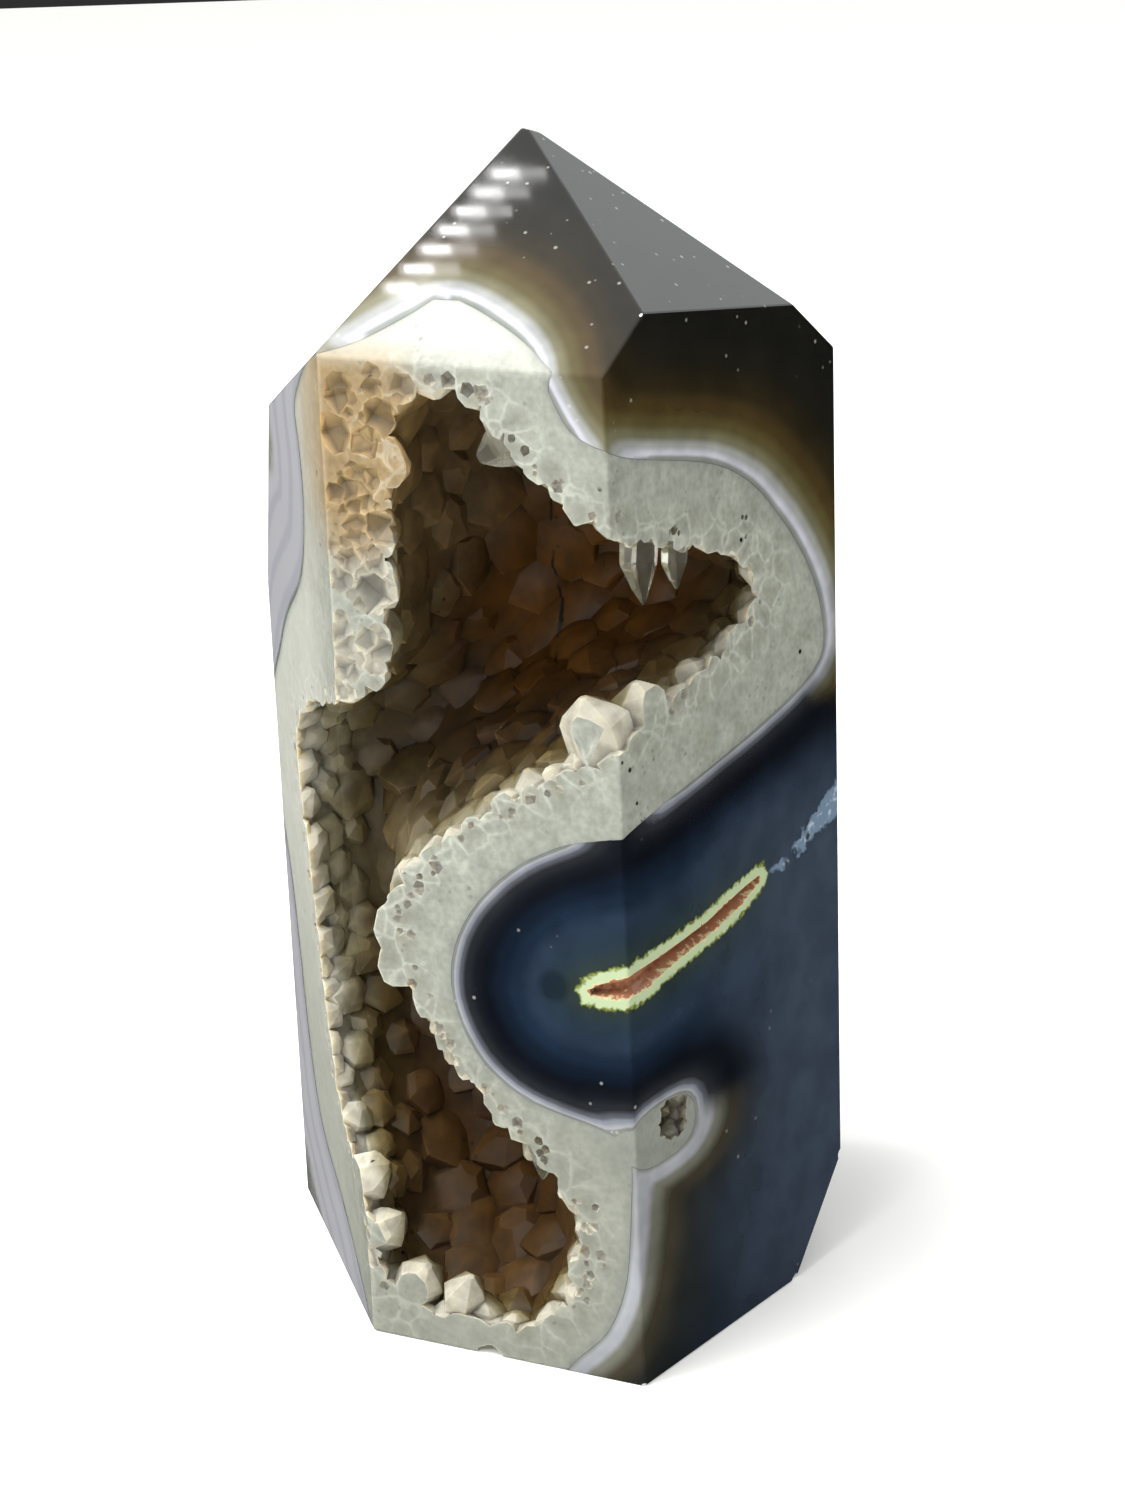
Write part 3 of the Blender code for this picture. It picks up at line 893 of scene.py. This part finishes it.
def banded_agate(tree, place, colours):
    # Chalcedony, lapped and polished to a mirror: dense and waxy, so it is nearly black where
    # it is thick, with soft brown, pale and blue bands that follow the wall of the hollow.
    x, y, z = add(tree, "SeparateXYZ", (place,)).outputs
    bed, seam, vein = [
        add(tree, "Attribute", attribute_name=name).outputs["Fac"]
        for name in ("bed_mm", "seam_mm", "vein_mm")
    ]
    # Waves about 9 mm long, and clouds of 2.5 mm, keep the bands from being ruled lines.
    wave = add(tree, "TexNoise", {0: place, "Scale": 66.0, "Detail": 3.0})
    wander = add(tree, "Math", (wave, 0.5), "SUBTRACT")
    mottle = add(tree, "TexNoise", {0: place, "Scale": 240.0, "Detail": 4.0})
    # The pale band is much broader on the left face than on the front.
    narrow = add(tree, "MapRange", (x, -0.0262, -0.0195, 0.12, 1.0), **SOFT)
    distance = add(tree, "Math", (bed, narrow), "MULTIPLY")
    wavy = add(tree, "Math", (wander, 0.6, distance), "MULTIPLY_ADD")
    above = colour_by(tree, wavy, 14.0, [
        (0.0, colours.hairline), (0.25, "#787c75"), (0.6, colours.lavender), (1.3, "#8c8e8b"),
        (2.1, "#625f4a"), (3.2, "#4b4327"), (4.6, colours.olive), (6.6, "#231d10"),
        (9.0, "#191711"), (12.0, "#131310"),
    ])
    beside = colour_by(tree, wavy, 3.0, [
        (0.0, colours.hairline), (0.15, "#696b65"), (0.30, "#888a8e"), (0.62, "#71747d"),
        (0.95, "#484a50"), (1.5, "#202225"), (2.6, "#12151a"),
    ])
    below = colour_by(tree, wavy, 16.0, [
        (0.0, colours.hairline), (0.22, "#818382"), (0.5, "#8f9296"), (1.3, "#888a8e"),
        (2.1, "#5f5f56"), (3.6, "#353127"), (6.0, "#202221"), (10.5, "#192027"),
        (15.0, "#1c2531"),
    ])
    # Towards the seam the nodule goes from black to steel blue, then to a dull green-grey.
    clear = add(tree, "Math", (seam, 0.01), "MAXIMUM")
    both = add(tree, "Math", (bed, clear), "ADD")
    share = add(tree, "Math", (bed, both), "DIVIDE")
    stirred = add(tree, "Math", (wander, 0.1, share), "MULTIPLY_ADD")
    nodule = colour_by(tree, stirred, 1.0, [
        (0.24, colours.core), (0.36, "#0d1622"), (0.47, "#14202f"), (0.60, colours.steel),
        (0.74, "#1f2b35"), (0.90, "#262f2e"), (1.0, "#374131"),
    ])
    past_band = add(tree, "MapRange", (bed, 2.2, 3.8), **SOFT)
    # The bands change where the nodule's edge meets the hollow's upper and lower lobes. Towards
    # the back these changes wander and broaden into clouds.
    behind = add(tree, "MapRange", (y, -0.014, 0.006))
    strayed = add(tree, "Math", (wander, behind), "MULTIPLY")
    rise = add(tree, "Math", (strayed, 0.09, z), "MULTIPLY_ADD")
    half = add(tree, "Math", (behind, 0.010, 0.001), "MULTIPLY_ADD")
    start = add(tree, "Math", (0.0658, half), "SUBTRACT")
    end = add(tree, "Math", (0.0658, half), "ADD")
    upper = add(tree, "MapRange", (rise, start, end), **SOFT)
    start = add(tree, "Math", (0.0265, half), "ADD")
    end = add(tree, "Math", (0.0245, half), "SUBTRACT")
    lower = add(tree, "MapRange", (rise, start, end), **SOFT)
    # The right side pales to slate below the nodule's dark top.
    drift = add(tree, "Math", (wander, 0.006, x), "MULTIPLY_ADD")
    rightward = add(tree, "MapRange", (drift, 0.010, 0.027), **SOFT)
    downward = add(tree, "MapRange", (z, 0.062, 0.048), **SOFT)
    away = add(tree, "MapRange", (bed, 3.0, 8.0), **SOFT)
    # Faint clouding a few millimetres across.
    cloud = colour_by(tree, mottle, 1.0, [(0.3, grey(0.86)), (0.7, grey(1.14))])
    # A dark smudge left of the seam, about 4 mm tall.
    smudge = soft_ball(tree, place, (-0.2, -29.6, 41.8), 1.3, wander)
    # The left face is a broad pale agate with soft grey-lilac bands about 2 mm apart.
    swing = add(tree, "Math", (wander, 6.0), "MULTIPLY")
    phase = add(tree, "Math", (bed, 1.4, swing), "MULTIPLY_ADD")
    rings = add(tree, "Math", (phase,), "SINE")
    lilac = colour_by(tree, rings, 1.0, [(0.0, "#9e9ea2"), (1.0, colours.lilac)])
    leftward = add(tree, "MapRange", (x, -0.018, -0.0235), **SOFT)
    past_line = add(tree, "MapRange", (bed, 0.3, 0.8))
    reached = add(tree, "Math", (bed, swing), "ADD")
    within = add(tree, "MapRange", (reached, 14.5, 12.0), **SOFT)
    # The seam: a frayed rim of green-white quartz grains round a rusty filling.
    fray = add(tree, "TexNoise", {0: place, "Scale": 1500.0})
    fray = add(tree, "Math", (fray, 0.5), "SUBTRACT")
    ragged = add(tree, "Math", (fray, 1.3, seam), "MULTIPLY_ADD")
    inward = add(tree, "Math", (ragged, 1.0), "ADD")
    stops = [
        (0.0, "#5e3524"), (0.55, colours.rust), (0.85, colours.rust), (1.0, "#c9b98e"),
        (1.15, colours.fringe), (1.85, colours.fringe), (2.05, colours.moss), (2.3, "#2a3324"),
    ]
    rim = colour_by(tree, inward, 3.0, stops, "LINEAR")
    at_seam = add(tree, "MapRange", (ragged, 1.4, 1.1), **SOFT)
    # The vein: broken blue-white crackle 1 mm wide, broadening to the right edge.
    crumble = add(tree, "TexNoise", {0: place, "Scale": 900.0, "Detail": 4.0})
    crumble = add(tree, "Math", (crumble, 0.5), "SUBTRACT")
    broad = add(tree, "MapRange", (x, 0.0225, 0.0290, 0.15, 1.5))
    gap = add(tree, "Math", (vein, broad), "SUBTRACT")
    gap = add(tree, "Math", (crumble, 2.6, gap), "MULTIPLY_ADD")
    vein_at = add(tree, "MapRange", (gap, 0.25, -0.1, 0.0, 0.8))
    stops = [(0.0, "#6f8296"), (0.12, "#a9bccb"), (0.3, "#cfdbe2")]
    crackle = colour_by(tree, crumble, 0.3, stops)
    # Rare pinholes, 0.3 mm across, are what the lapping left.
    pin = add(tree, "TexVoronoi", {0: place, "Scale": 560.0})
    pin = add(tree, "MapRange", (pin, 0.14, 0.07), **SOFT)
    # They are far commoner in the top 20 mm.
    patches = add(tree, "TexNoise", {0: place, "Scale": 100.0})
    top = add(tree, "MapRange", (z, 0.092, 0.104, 0.0, 0.22))
    patches = add(tree, "Math", (patches, top), "ADD")
    patches = add(tree, "MapRange", (patches, 0.60, 0.66))
    body = layered(tree, beside, [
        ((past_band,), nodule), ((upper,), above), ((lower,), below),
        ((rightward, downward, away), colours.slate), ((), cloud), ((smudge, 0.55), "#0b1318"),
        ((leftward, past_line, within), lilac), ((at_seam,), rim), ((vein_at,), crackle),
        ((pin, patches, 0.38), "#b8b8ae"),
    ])
    dull = add(tree, "MapRange", (mottle, 0.3, 0.8, 0.02, 0.05))
    return {"Base Color": body, "Roughness": dull, "IOR": 1.54}


def broken_agate(tree, place, colours):
    # Freshly chipped chalcedony: a dull, splintery, pale grey break with no polish.
    grain = add(tree, "TexNoise", {0: place, "Scale": 2200.0, "Detail": 3.0})
    shade = colour_by(tree, grain, 1.0, [(0.3, "#a3aaab"), (0.7, "#e6ebea")])
    relief = add(tree, "Bump", {"Strength": 0.5, "Distance": 0.0001, "Height": grain})
    return {"Base Color": shade, "Roughness": 0.45, "IOR": 1.54, "Normal": relief}


def quartz_shade(tree, place, colours, pale):
    """Colour shared by the quartz: pale at the mouth, brown deep in the hollow."""
    depth = add(tree, "Attribute", attribute_name="depth_mm").outputs["Fac"]
    clouds = add(tree, "TexNoise", {0: place, "Scale": 150.0, "Detail": 4.0})
    wander = add(tree, "Math", (clouds, 0.5), "SUBTRACT")
    x, _, z = add(tree, "SeparateXYZ", (place,)).outputs
    # The right-hand lobe is browner than its depth alone, the left side paler: partly iron stain,
    # partly painted shade on the right and painted light from the left.
    stain_and_side_light = add(tree, "MapRange", (x, -0.012, 0.012, -1.0, 3.5))
    inside = add(tree, "MapRange", (depth, 2.0, 5.5))
    stain_and_side_light = add(tree, "Math", (stain_and_side_light, inside), "MULTIPLY")
    deeper = add(tree, "Math", (depth, stain_and_side_light), "ADD")
    # The lower chamber is browner too, from its waist down.
    low = add(tree, "MapRange", (z, 0.036, 0.018, 0.0, 8.0))
    deeper = add(tree, "Math", (low, inside, deeper), "MULTIPLY_ADD")
    shifted = add(tree, "Math", (wander, 6.0, deeper), "MULTIPLY_ADD")
    shade = colour_by(tree, shifted, 30.0, [
        (0.0, pale), (0.8, pale), (3.0, "#79735c"), (6.0, colours.tan), (10.0, "#47391d"),
        (16.0, "#443018"), (24.0, colours.brown),
    ])
    # Honey at the upper left; painted light: a paler brown under the crown where light falls on the
    # back wall, and amber light through the back wall.
    layers = []
    for centre, radius, share, tone in (
        ((-18.0, -18.5, 94.0), 9.0, 0.8, colours.honey),
        ((-12.0, -4.0, 86.0), 12.0, 0.65, "#6a5636"),
        ((5.5, 6.0, 70.5), 11.0, 0.75, colours.amber),
    ):
        layers.append(((soft_ball(tree, place, centre, radius, wander), share), tone))
    # Cracks: dark upright lines, 0.2 mm wide, that come and go on the back wall.
    bent = add(tree, "Math", (wander, 0.0035, x), "MULTIPLY_ADD")
    gaps = add(tree, "TexNoise", {0: place, "Scale": 170.0, "Detail": 3.0})
    gaps = add(tree, "MapRange", (gaps, 0.50, 0.56))
    far_in = add(tree, "MapRange", (depth, 9.0, 14.0))
    broken = add(tree, "Math", (gaps, far_in), "MULTIPLY")
    for at, width in ((0.0012, 0.00022), (0.0068, 0.00016)):
        off = add(tree, "Math", (bent, at), "SUBTRACT")
        off = add(tree, "Math", (off,), "ABSOLUTE")
        line = add(tree, "MapRange", (off, width, width * 0.4), **SOFT)
        layers.append(((line, broken), "#120a04"))
    # Specks of black oxide about 0.3 mm across, in clusters.
    dots = add(tree, "TexVoronoi", {0: place, "Scale": 620.0})
    dots = add(tree, "MapRange", (dots, 0.20, 0.12), **SOFT)
    clusters = add(tree, "TexNoise", {0: place, "Scale": 200.0})
    clusters = add(tree, "MapRange", (clusters, 0.63, 0.66))
    layers.append(((dots, clusters), "#15100b"))
    return layered(tree, shade, layers)


def cut_quartz(tree, place, colours):
    # Milky quartz, sawn across its columns and polished: cloudy, faintly green, with a waxy
    # depth under a glossy face.
    bed = add(tree, "Attribute", attribute_name="bed_mm").outputs["Fac"]
    mouth = add(tree, "Attribute", attribute_name="mouth_mm").outputs["Fac"]
    x, _, z = add(tree, "SeparateXYZ", (place,)).outputs
    # Cloudy mottling, 1 to 3 mm across.
    jitter = add(tree, "TexNoise", {0: place, "Scale": 420.0, "Detail": 4.0})
    patch = colour_by(tree, jitter, 1.0, [(0.3, grey(0.84)), (0.7, grey(1.14))], "LINEAR")
    # Near the mouth the sawn crystals, 3 mm across, show pale outlines and warmer hearts.
    near = add(tree, "MapRange", (mouth, 4.5, 0.8), **SOFT)
    shifts = (jitter.outputs["Color"], (0.0016, 0.0016, 0.0016), place)
    stirred = add(tree, "VectorMath", shifts, "MULTIPLY_ADD")
    grains = add(tree, "TexVoronoi", {0: stirred, "Scale": 330.0}, feature="DISTANCE_TO_EDGE")
    outline = add(tree, "MapRange", (grains, 0.075, 0.02))
    heart = add(tree, "MapRange", (grains, 0.1, 0.4, 0.0, 0.30))
    # Pits 0.2 mm across, in patches.
    pits = add(tree, "TexVoronoi", {0: place, "Scale": 900.0})
    pits = add(tree, "MapRange", (pits, 0.24, 0.12), **SOFT)
    patches = add(tree, "TexNoise", {0: place, "Scale": 270.0})
    patches = add(tree, "MapRange", (patches, 0.54, 0.60))
    pit = add(tree, "Math", (pits, patches), "MULTIPLY")
    # A sugary grain under half a millimetre across.
    sugar = add(tree, "TexNoise", {0: place, "Scale": 1500.0, "Detail": 2.0})
    sugar = colour_by(tree, sugar, 1.0, [(0.3, grey(0.88)), (0.7, grey(1.12))], "LINEAR")
    # The crust is whitest towards the left edge, partly frosty quartz and partly painted light from
    # the left, and under the crown, where the whitening is a painted reflection. It greys towards
    # the foot.
    west = add(tree, "MapRange", (x, -0.0195, -0.0235))
    crown = add(tree, "MapRange", (z, 0.1005, 0.1035))
    white = add(tree, "Math", (west, crown), "MAXIMUM")
    low = add(tree, "MapRange", (z, 0.050, 0.022, 0.0, 0.4))
    # Beside the agate the quartz is finer grained and a little greyer.
    rind = add(tree, "MapRange", (bed, 0.9, 0.1, 0.0, 0.35))
    shade = layered(tree, quartz_shade(tree, place, colours, colours.milk), [
        ((), patch), ((heart, near), colours.tan), ((outline, near, 0.22), "#d8d8ca"),
        ((pit, 0.45), "#5f6154"), ((), sugar), ((white, 0.5), "#cfd0c6"), ((low,), "#74756b"),
        ((rind,), colours.hairline),
    ])
    height = add(tree, "Math", (jitter, pit), "SUBTRACT")
    relief = add(tree, "Bump", {"Strength": 0.25, "Distance": 0.0001, "Height": height})
    return {
        "Base Color": shade, "Normal": relief, "Roughness": 0.14, "IOR": 1.544,
        "Subsurface Weight": 0.55, "Subsurface Scale": 0.0018,
        "Subsurface Radius": (1.0, 0.95, 0.8),
    }


def grown_quartz(tree, place, colours):
    # Druzy quartz as it grew: glassy faces over a cloudy body, browner with depth.
    growth = add(tree, "TexNoise", {0: place, "Scale": 500.0, "Detail": 4.0})
    # Worn edges, 0.15 mm round, catch the light.
    edges = add(tree, "Bevel", {"Radius": 0.00015}, samples=4)
    relief = add(tree, "Bump", {
        "Strength": 0.35, "Distance": 0.0003, "Height": growth, "Normal": edges,
    })
    pit = soft_ball(tree, place, PIT_CENTRE, 3.4, growth)
    # Each face lets a different share of the light in, so neighbours differ in tone.
    geometry = add(tree, "NewGeometry")
    tilt = add(tree, "TexNoise", {0: geometry.outputs["True Normal"], "Scale": 3.5, "Detail": 1.0})
    tint = colour_by(tree, tilt, 1.0, [(0.32, grey(0.86)), (0.68, grey(1.16))], "LINEAR")
    # Painted shade darkens the crevices and a painted highlight lightens the tips.
    convex = add(tree, "MapRange", (geometry.outputs["Pointiness"], 0.42, 0.56))
    crevice_shade_and_tip_light = colour_by(tree, convex, 1.0, [(0.0, grey(0.66)), (0.57, grey(1.0)), (0.8, grey(1.14))])
    # Veils and bubbles inside the crystals, under a millimetre across.
    veils = colour_by(tree, growth, 1.0, [(0.32, grey(0.80)), (0.62, grey(1.15))])
    shade = layered(tree, quartz_shade(tree, place, colours, "#9a978a"), [
        ((pit,), "#332a17"), ((), tint), ((), crevice_shade_and_tip_light), ((), veils),
    ])
    # Bright glassy faces at the mouth, a dull film of clay and iron deeper in.
    depth = add(tree, "Attribute", attribute_name="depth_mm").outputs["Fac"]
    film = add(tree, "MapRange", (depth, 2.0, 9.0, 0.14, 0.5))
    return {
        "Base Color": shade, "Normal": relief, "Roughness": film, "IOR": 1.544,
        "Subsurface Weight": 0.75, "Subsurface Scale": 0.0024,
        "Subsurface Radius": (1.0, 0.8, 0.5),
    }


def clear_quartz(tree, place, colours):
    # Rock crystal: water-clear with thin internal veils, so the dark hollow shows through it.
    veils = add(tree, "TexNoise", {0: place, "Scale": 500.0, "Detail": 3.0})
    shade = colour_by(tree, veils, 1.0, [(0.35, "#dcdcd0"), (0.7, "#a5a394")])
    haze = add(tree, "MapRange", (veils, 0.45, 0.65, 0.03, 0.22))
    return {
        "Base Color": shade, "Roughness": haze, "IOR": 1.544, "Transmission Weight": 0.95,
    }


def studio_floor(tree, place, colours):
    # A seamless paper sweep: matt and almost white, lit a little from behind.
    grain = add(tree, "TexNoise", {0: place, "Scale": 900.0})
    bump = add(tree, "Bump", {"Strength": 0.05, "Distance": 0.0002, "Height": grain})
    return {
        "Base Color": opaque(colours.floor), "Roughness": 0.8, "Normal": bump,
        "Emission Color": opaque(colours.floor), "Emission Strength": 0.12,
    }


class GEODE_OT_agate(bpy.types.Operator):
    """Model the banded agate body with its polished facets and the bed of the hollow"""

    bl_idname = "geode.agate"
    bl_label = "Agate body"

    def execute(self, context):
        sizes = context.scene.geode_sizes
        colours = context.scene.geode_colours
        finishes = [
            material("Polished banded agate", banded_agate, colours),
            material("Chipped agate", broken_agate, colours),
        ]
        stone = give_finishes(cut_block("agate_stone", sizes, 0.0, sizes.cell), finishes, 0)
        combine(stone, loft("bed_cutter", BED, BED_REACH, BED_BETWEEN), "DIFFERENCE")
        combine(stone, pebble("pocket_cutter", POCKET_CENTRE, POCKET_BED), "DIFFERENCE")
        combine(stone, seam_cutter(), "DIFFERENCE")
        for i, (centre, radius) in enumerate(CHIPS):
            combine(stone, chip(f"chip_{i}", centre, radius, finishes, 1), "DIFFERENCE")
        keep_largest(stone)
        measure_stone(stone)
        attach(stone, "root")
        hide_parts("agate_tower")
        return {"FINISHED"}


class GEODE_OT_quartz(bpy.types.Operator):
    """Model the quartz lining of the hollow, from its bed to the crystal points"""

    bl_idname = "geode.quartz"
    bl_label = "Quartz lining"

    def execute(self, context):
        sizes = context.scene.geode_sizes
        colours = context.scene.geode_colours
        fit = sizes.fit / MM
        finishes = [
            material("Cut milky quartz", cut_quartz, colours),
            material("Grown quartz crystals", grown_quartz, colours),
        ]
        space = loft("space_cutter", SPACE, SPACE_REACH, SPACE_BETWEEN)
        give_finishes(space, finishes, 1)
        nicks = rim_nicks(space, sizes, finishes)
        pit = give_finishes(pebble("pit_cutter", PIT_CENTRE, PIT_SIZE), finishes, 1)
        combine(space, pit, "UNION")
        combine(space, crystal_field(space, sizes, finishes), "DIFFERENCE", True)
        lining = loft("quartz_lining", BED, BED_REACH, BED_BETWEEN, fit)
        give_finishes(lining, finishes, 0)
        fill = give_finishes(pebble("pocket_fill", POCKET_CENTRE, POCKET_BED, fit), finishes, 0)
        combine(lining, fill, "UNION")
        combine(lining, nicks, "DIFFERENCE", True)
        combine(lining, space, "DIFFERENCE")
        trim = cut_block("trim_block", sizes, 0.0001, sizes.cell * 1.6)
        combine(lining, give_finishes(trim, finishes, 0), "INTERSECT")
        combine(lining, chip("base_chip", *BASE_CHIP, finishes, 1), "DIFFERENCE")
        keep_largest(lining)
        measure_stone(lining)
        soften(lining)
        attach(lining, "root")
        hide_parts("hollow_crystals")
        return {"FINISHED"}


class GEODE_OT_clear_crystals(bpy.types.Operator):
    """Model the few glassy crystals that point into the mouth of the hollow"""

    bl_idname = "geode.clear_crystals"
    bl_label = "Clear crystals"

    def execute(self, context):
        sizes = context.scene.geode_sizes
        colours = context.scene.geode_colours
        finishes = [
            material("Cut milky quartz", cut_quartz, colours),
            material("Clear rock crystal", clear_quartz, colours),
        ]
        points = []
        for i, crystal in enumerate(CLEAR_CRYSTALS):
            points.append(clear_point(f"clear_point_{i}", crystal, sizes, finishes))
        activate(points[0])
        for point in points:
            point.select_set(True)
        bpy.ops.object.join()
        group = context.object
        group.name = "clear_crystals"
        measure_stone(group)
        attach(group, "root")
        return {"FINISHED"}


class GEODE_OT_stage(bpy.types.Operator):
    """Set the pale floor, the studio lights and the camera"""

    bl_idname = "geode.stage"
    bl_label = "Studio stage"

    def execute(self, context):
        deselect()
        bpy.ops.mesh.primitive_plane_add(size=4.0, location=(0.0, 0.0, 0.0))
        floor = context.object
        floor.name = "studio_floor"
        paper = material("Matt paper sweep", studio_floor, context.scene.geode_colours)
        floor.data.materials.append(paper)
        floor.visible_glossy = False

        world = bpy.data.worlds.new("Studio surround")
        context.scene.world = world
        world.use_nodes = True
        tree = world.node_tree
        tree.nodes.clear()
        toward = add(tree, "TexCoord").outputs["Generated"]
        level = add(tree, "VectorMath", (toward, (-0.30, -0.10, 0.95)), "DOT_PRODUCT")
        level = add(tree, "Math", (level.outputs["Value"], 1.0), "ADD")
        glow = colour_by(tree, level, 2.0, [
            (0.0, grey(0.01)), (0.92, grey(0.03)), (1.06, grey(0.7)), (1.5, grey(0.95)),
        ])
        surround = add(tree, "Background", {"Color": glow, "Strength": 1.0})
        add(tree, "OutputWorld", {"Surface": surround})

        def softbox(name, place, aim, size, power, unseen, along=(1.0, 0.0, 0.0)):
            data = bpy.data.lights.new(name, "AREA")
            data.shape = "RECTANGLE"
            data.size, data.size_y = size
            data.energy = power
            lamp = bpy.data.objects.new(name, data)
            context.scene.collection.objects.link(lamp)
            lamp.location = place
            away = (Vector(place) - Vector(aim)).normalized()
            upward = away.cross(Vector(along)).normalized()
            turn = Matrix((upward.cross(away), upward, away)).transposed()
            lamp.rotation_euler = turn.to_euler()
            setattr(lamp, "visible_" + unseen, False)
            return lamp

        middle = Vector((0.0, 0.0, 0.06))
        softbox("key_softbox", (-0.34, -0.08, 0.80), middle, (0.60, 0.60), 14.0, "glossy")
        softbox("front_softbox", (-0.35, -0.85, 0.45), middle, (0.6, 0.6), 0.3, "glossy")
        # The slats stand where the upper left facet mirrors them to the camera.
        eye = Vector(EYE) * MM
        n = normal_of(TOP_LEFT)
        for i in range(SLAT_COUNT):
            seen = Vector(SLATS_SEEN[0]).lerp(Vector(SLATS_SEEN[1]), i / (SLAT_COUNT - 1)) * MM
            mirrored = (seen - eye).normalized().reflect(n)
            at = seen + mirrored * 0.9
            softbox(f"slat_{i}", at, seen, (0.011, 0.0024), 0.0022, "diffuse", SLAT_ALONG)
            # Its dim ends reach further along.
            at += Vector(SLAT_ALONG) * 0.004 + mirrored * 0.01
            softbox(f"slat_ends_{i}", at, seen, (0.024, 0.0042), 0.0018, "diffuse", SLAT_ALONG)
        # A small window beside them whitens the foot of that facet.
        pane_at = Vector((-0.0165, -0.0190, 0.1035))
        pane_far = pane_at + Vector((-0.392, 0.248, 0.886)) * 0.9
        softbox("pane", pane_far, pane_at, (0.055, 0.022), 0.006, "diffuse")
        # A panel to the back right gives the upper right facet its grey sheen.
        panel = softbox("back_panel", (0.45, 0.78, 0.55), middle, (0.9, 0.7), 0.95, "diffuse")
        panel.data.color = (0.86, 1.0, 0.96)

        pitch, roll = math.radians(PITCH), math.radians(ROLL)
        ahead = Vector((0.0, math.cos(pitch), -math.sin(pitch)))
        across = Vector((1.0, 0.0, 0.0))
        upright = across.cross(ahead)
        right = across * math.cos(roll) - upright * math.sin(roll)
        up = across * math.sin(roll) + upright * math.cos(roll)
        data = bpy.data.cameras.new("photo_camera")
        data.sensor_width = 36.0
        data.lens = 72.0
        data.clip_start = 0.01
        camera = bpy.data.objects.new("photo_camera", data)
        context.scene.collection.objects.link(camera)
        turn = Matrix((right, up, -ahead)).transposed().to_4x4()
        camera.matrix_world = Matrix.Translation(eye) @ turn
        context.scene.camera = camera
        context.scene.view_settings.view_transform = "Standard"
        return {"FINISHED"}


class GEODE_PT_panel(bpy.types.Panel):
    bl_label = "Geode"
    bl_idname = "GEODE_PT_panel"
    bl_space_type = "VIEW_3D"
    bl_region_type = "UI"
    bl_category = "Geode"

    def draw(self, context):
        column = self.layout.column()
        for group in (context.scene.geode_sizes, context.scene.geode_colours):
            for name in group.__annotations__:
                column.prop(group, name)
        for operator in CLASSES[2:-1]:
            column.operator(operator.bl_idname)


CLASSES = (
    GeodeSizes,
    GeodeColours,
    GEODE_OT_agate,
    GEODE_OT_quartz,
    GEODE_OT_clear_crystals,
    GEODE_OT_stage,
    GEODE_PT_panel,
)


def register():
    for made in CLASSES:
        bpy.utils.register_class(made)
    bpy.types.Scene.geode_sizes = PointerProperty(type=GeodeSizes)
    bpy.types.Scene.geode_colours = PointerProperty(type=GeodeColours)


def unregister():
    del bpy.types.Scene.geode_colours
    del bpy.types.Scene.geode_sizes
    for made in reversed(CLASSES):
        bpy.utils.unregister_class(made)


def main():
    register()
    bpy.ops.geode.agate()
    bpy.ops.geode.quartz()
    bpy.ops.geode.clear_crystals()
    bpy.ops.geode.stage()


if __name__ == "__main__":
    main()
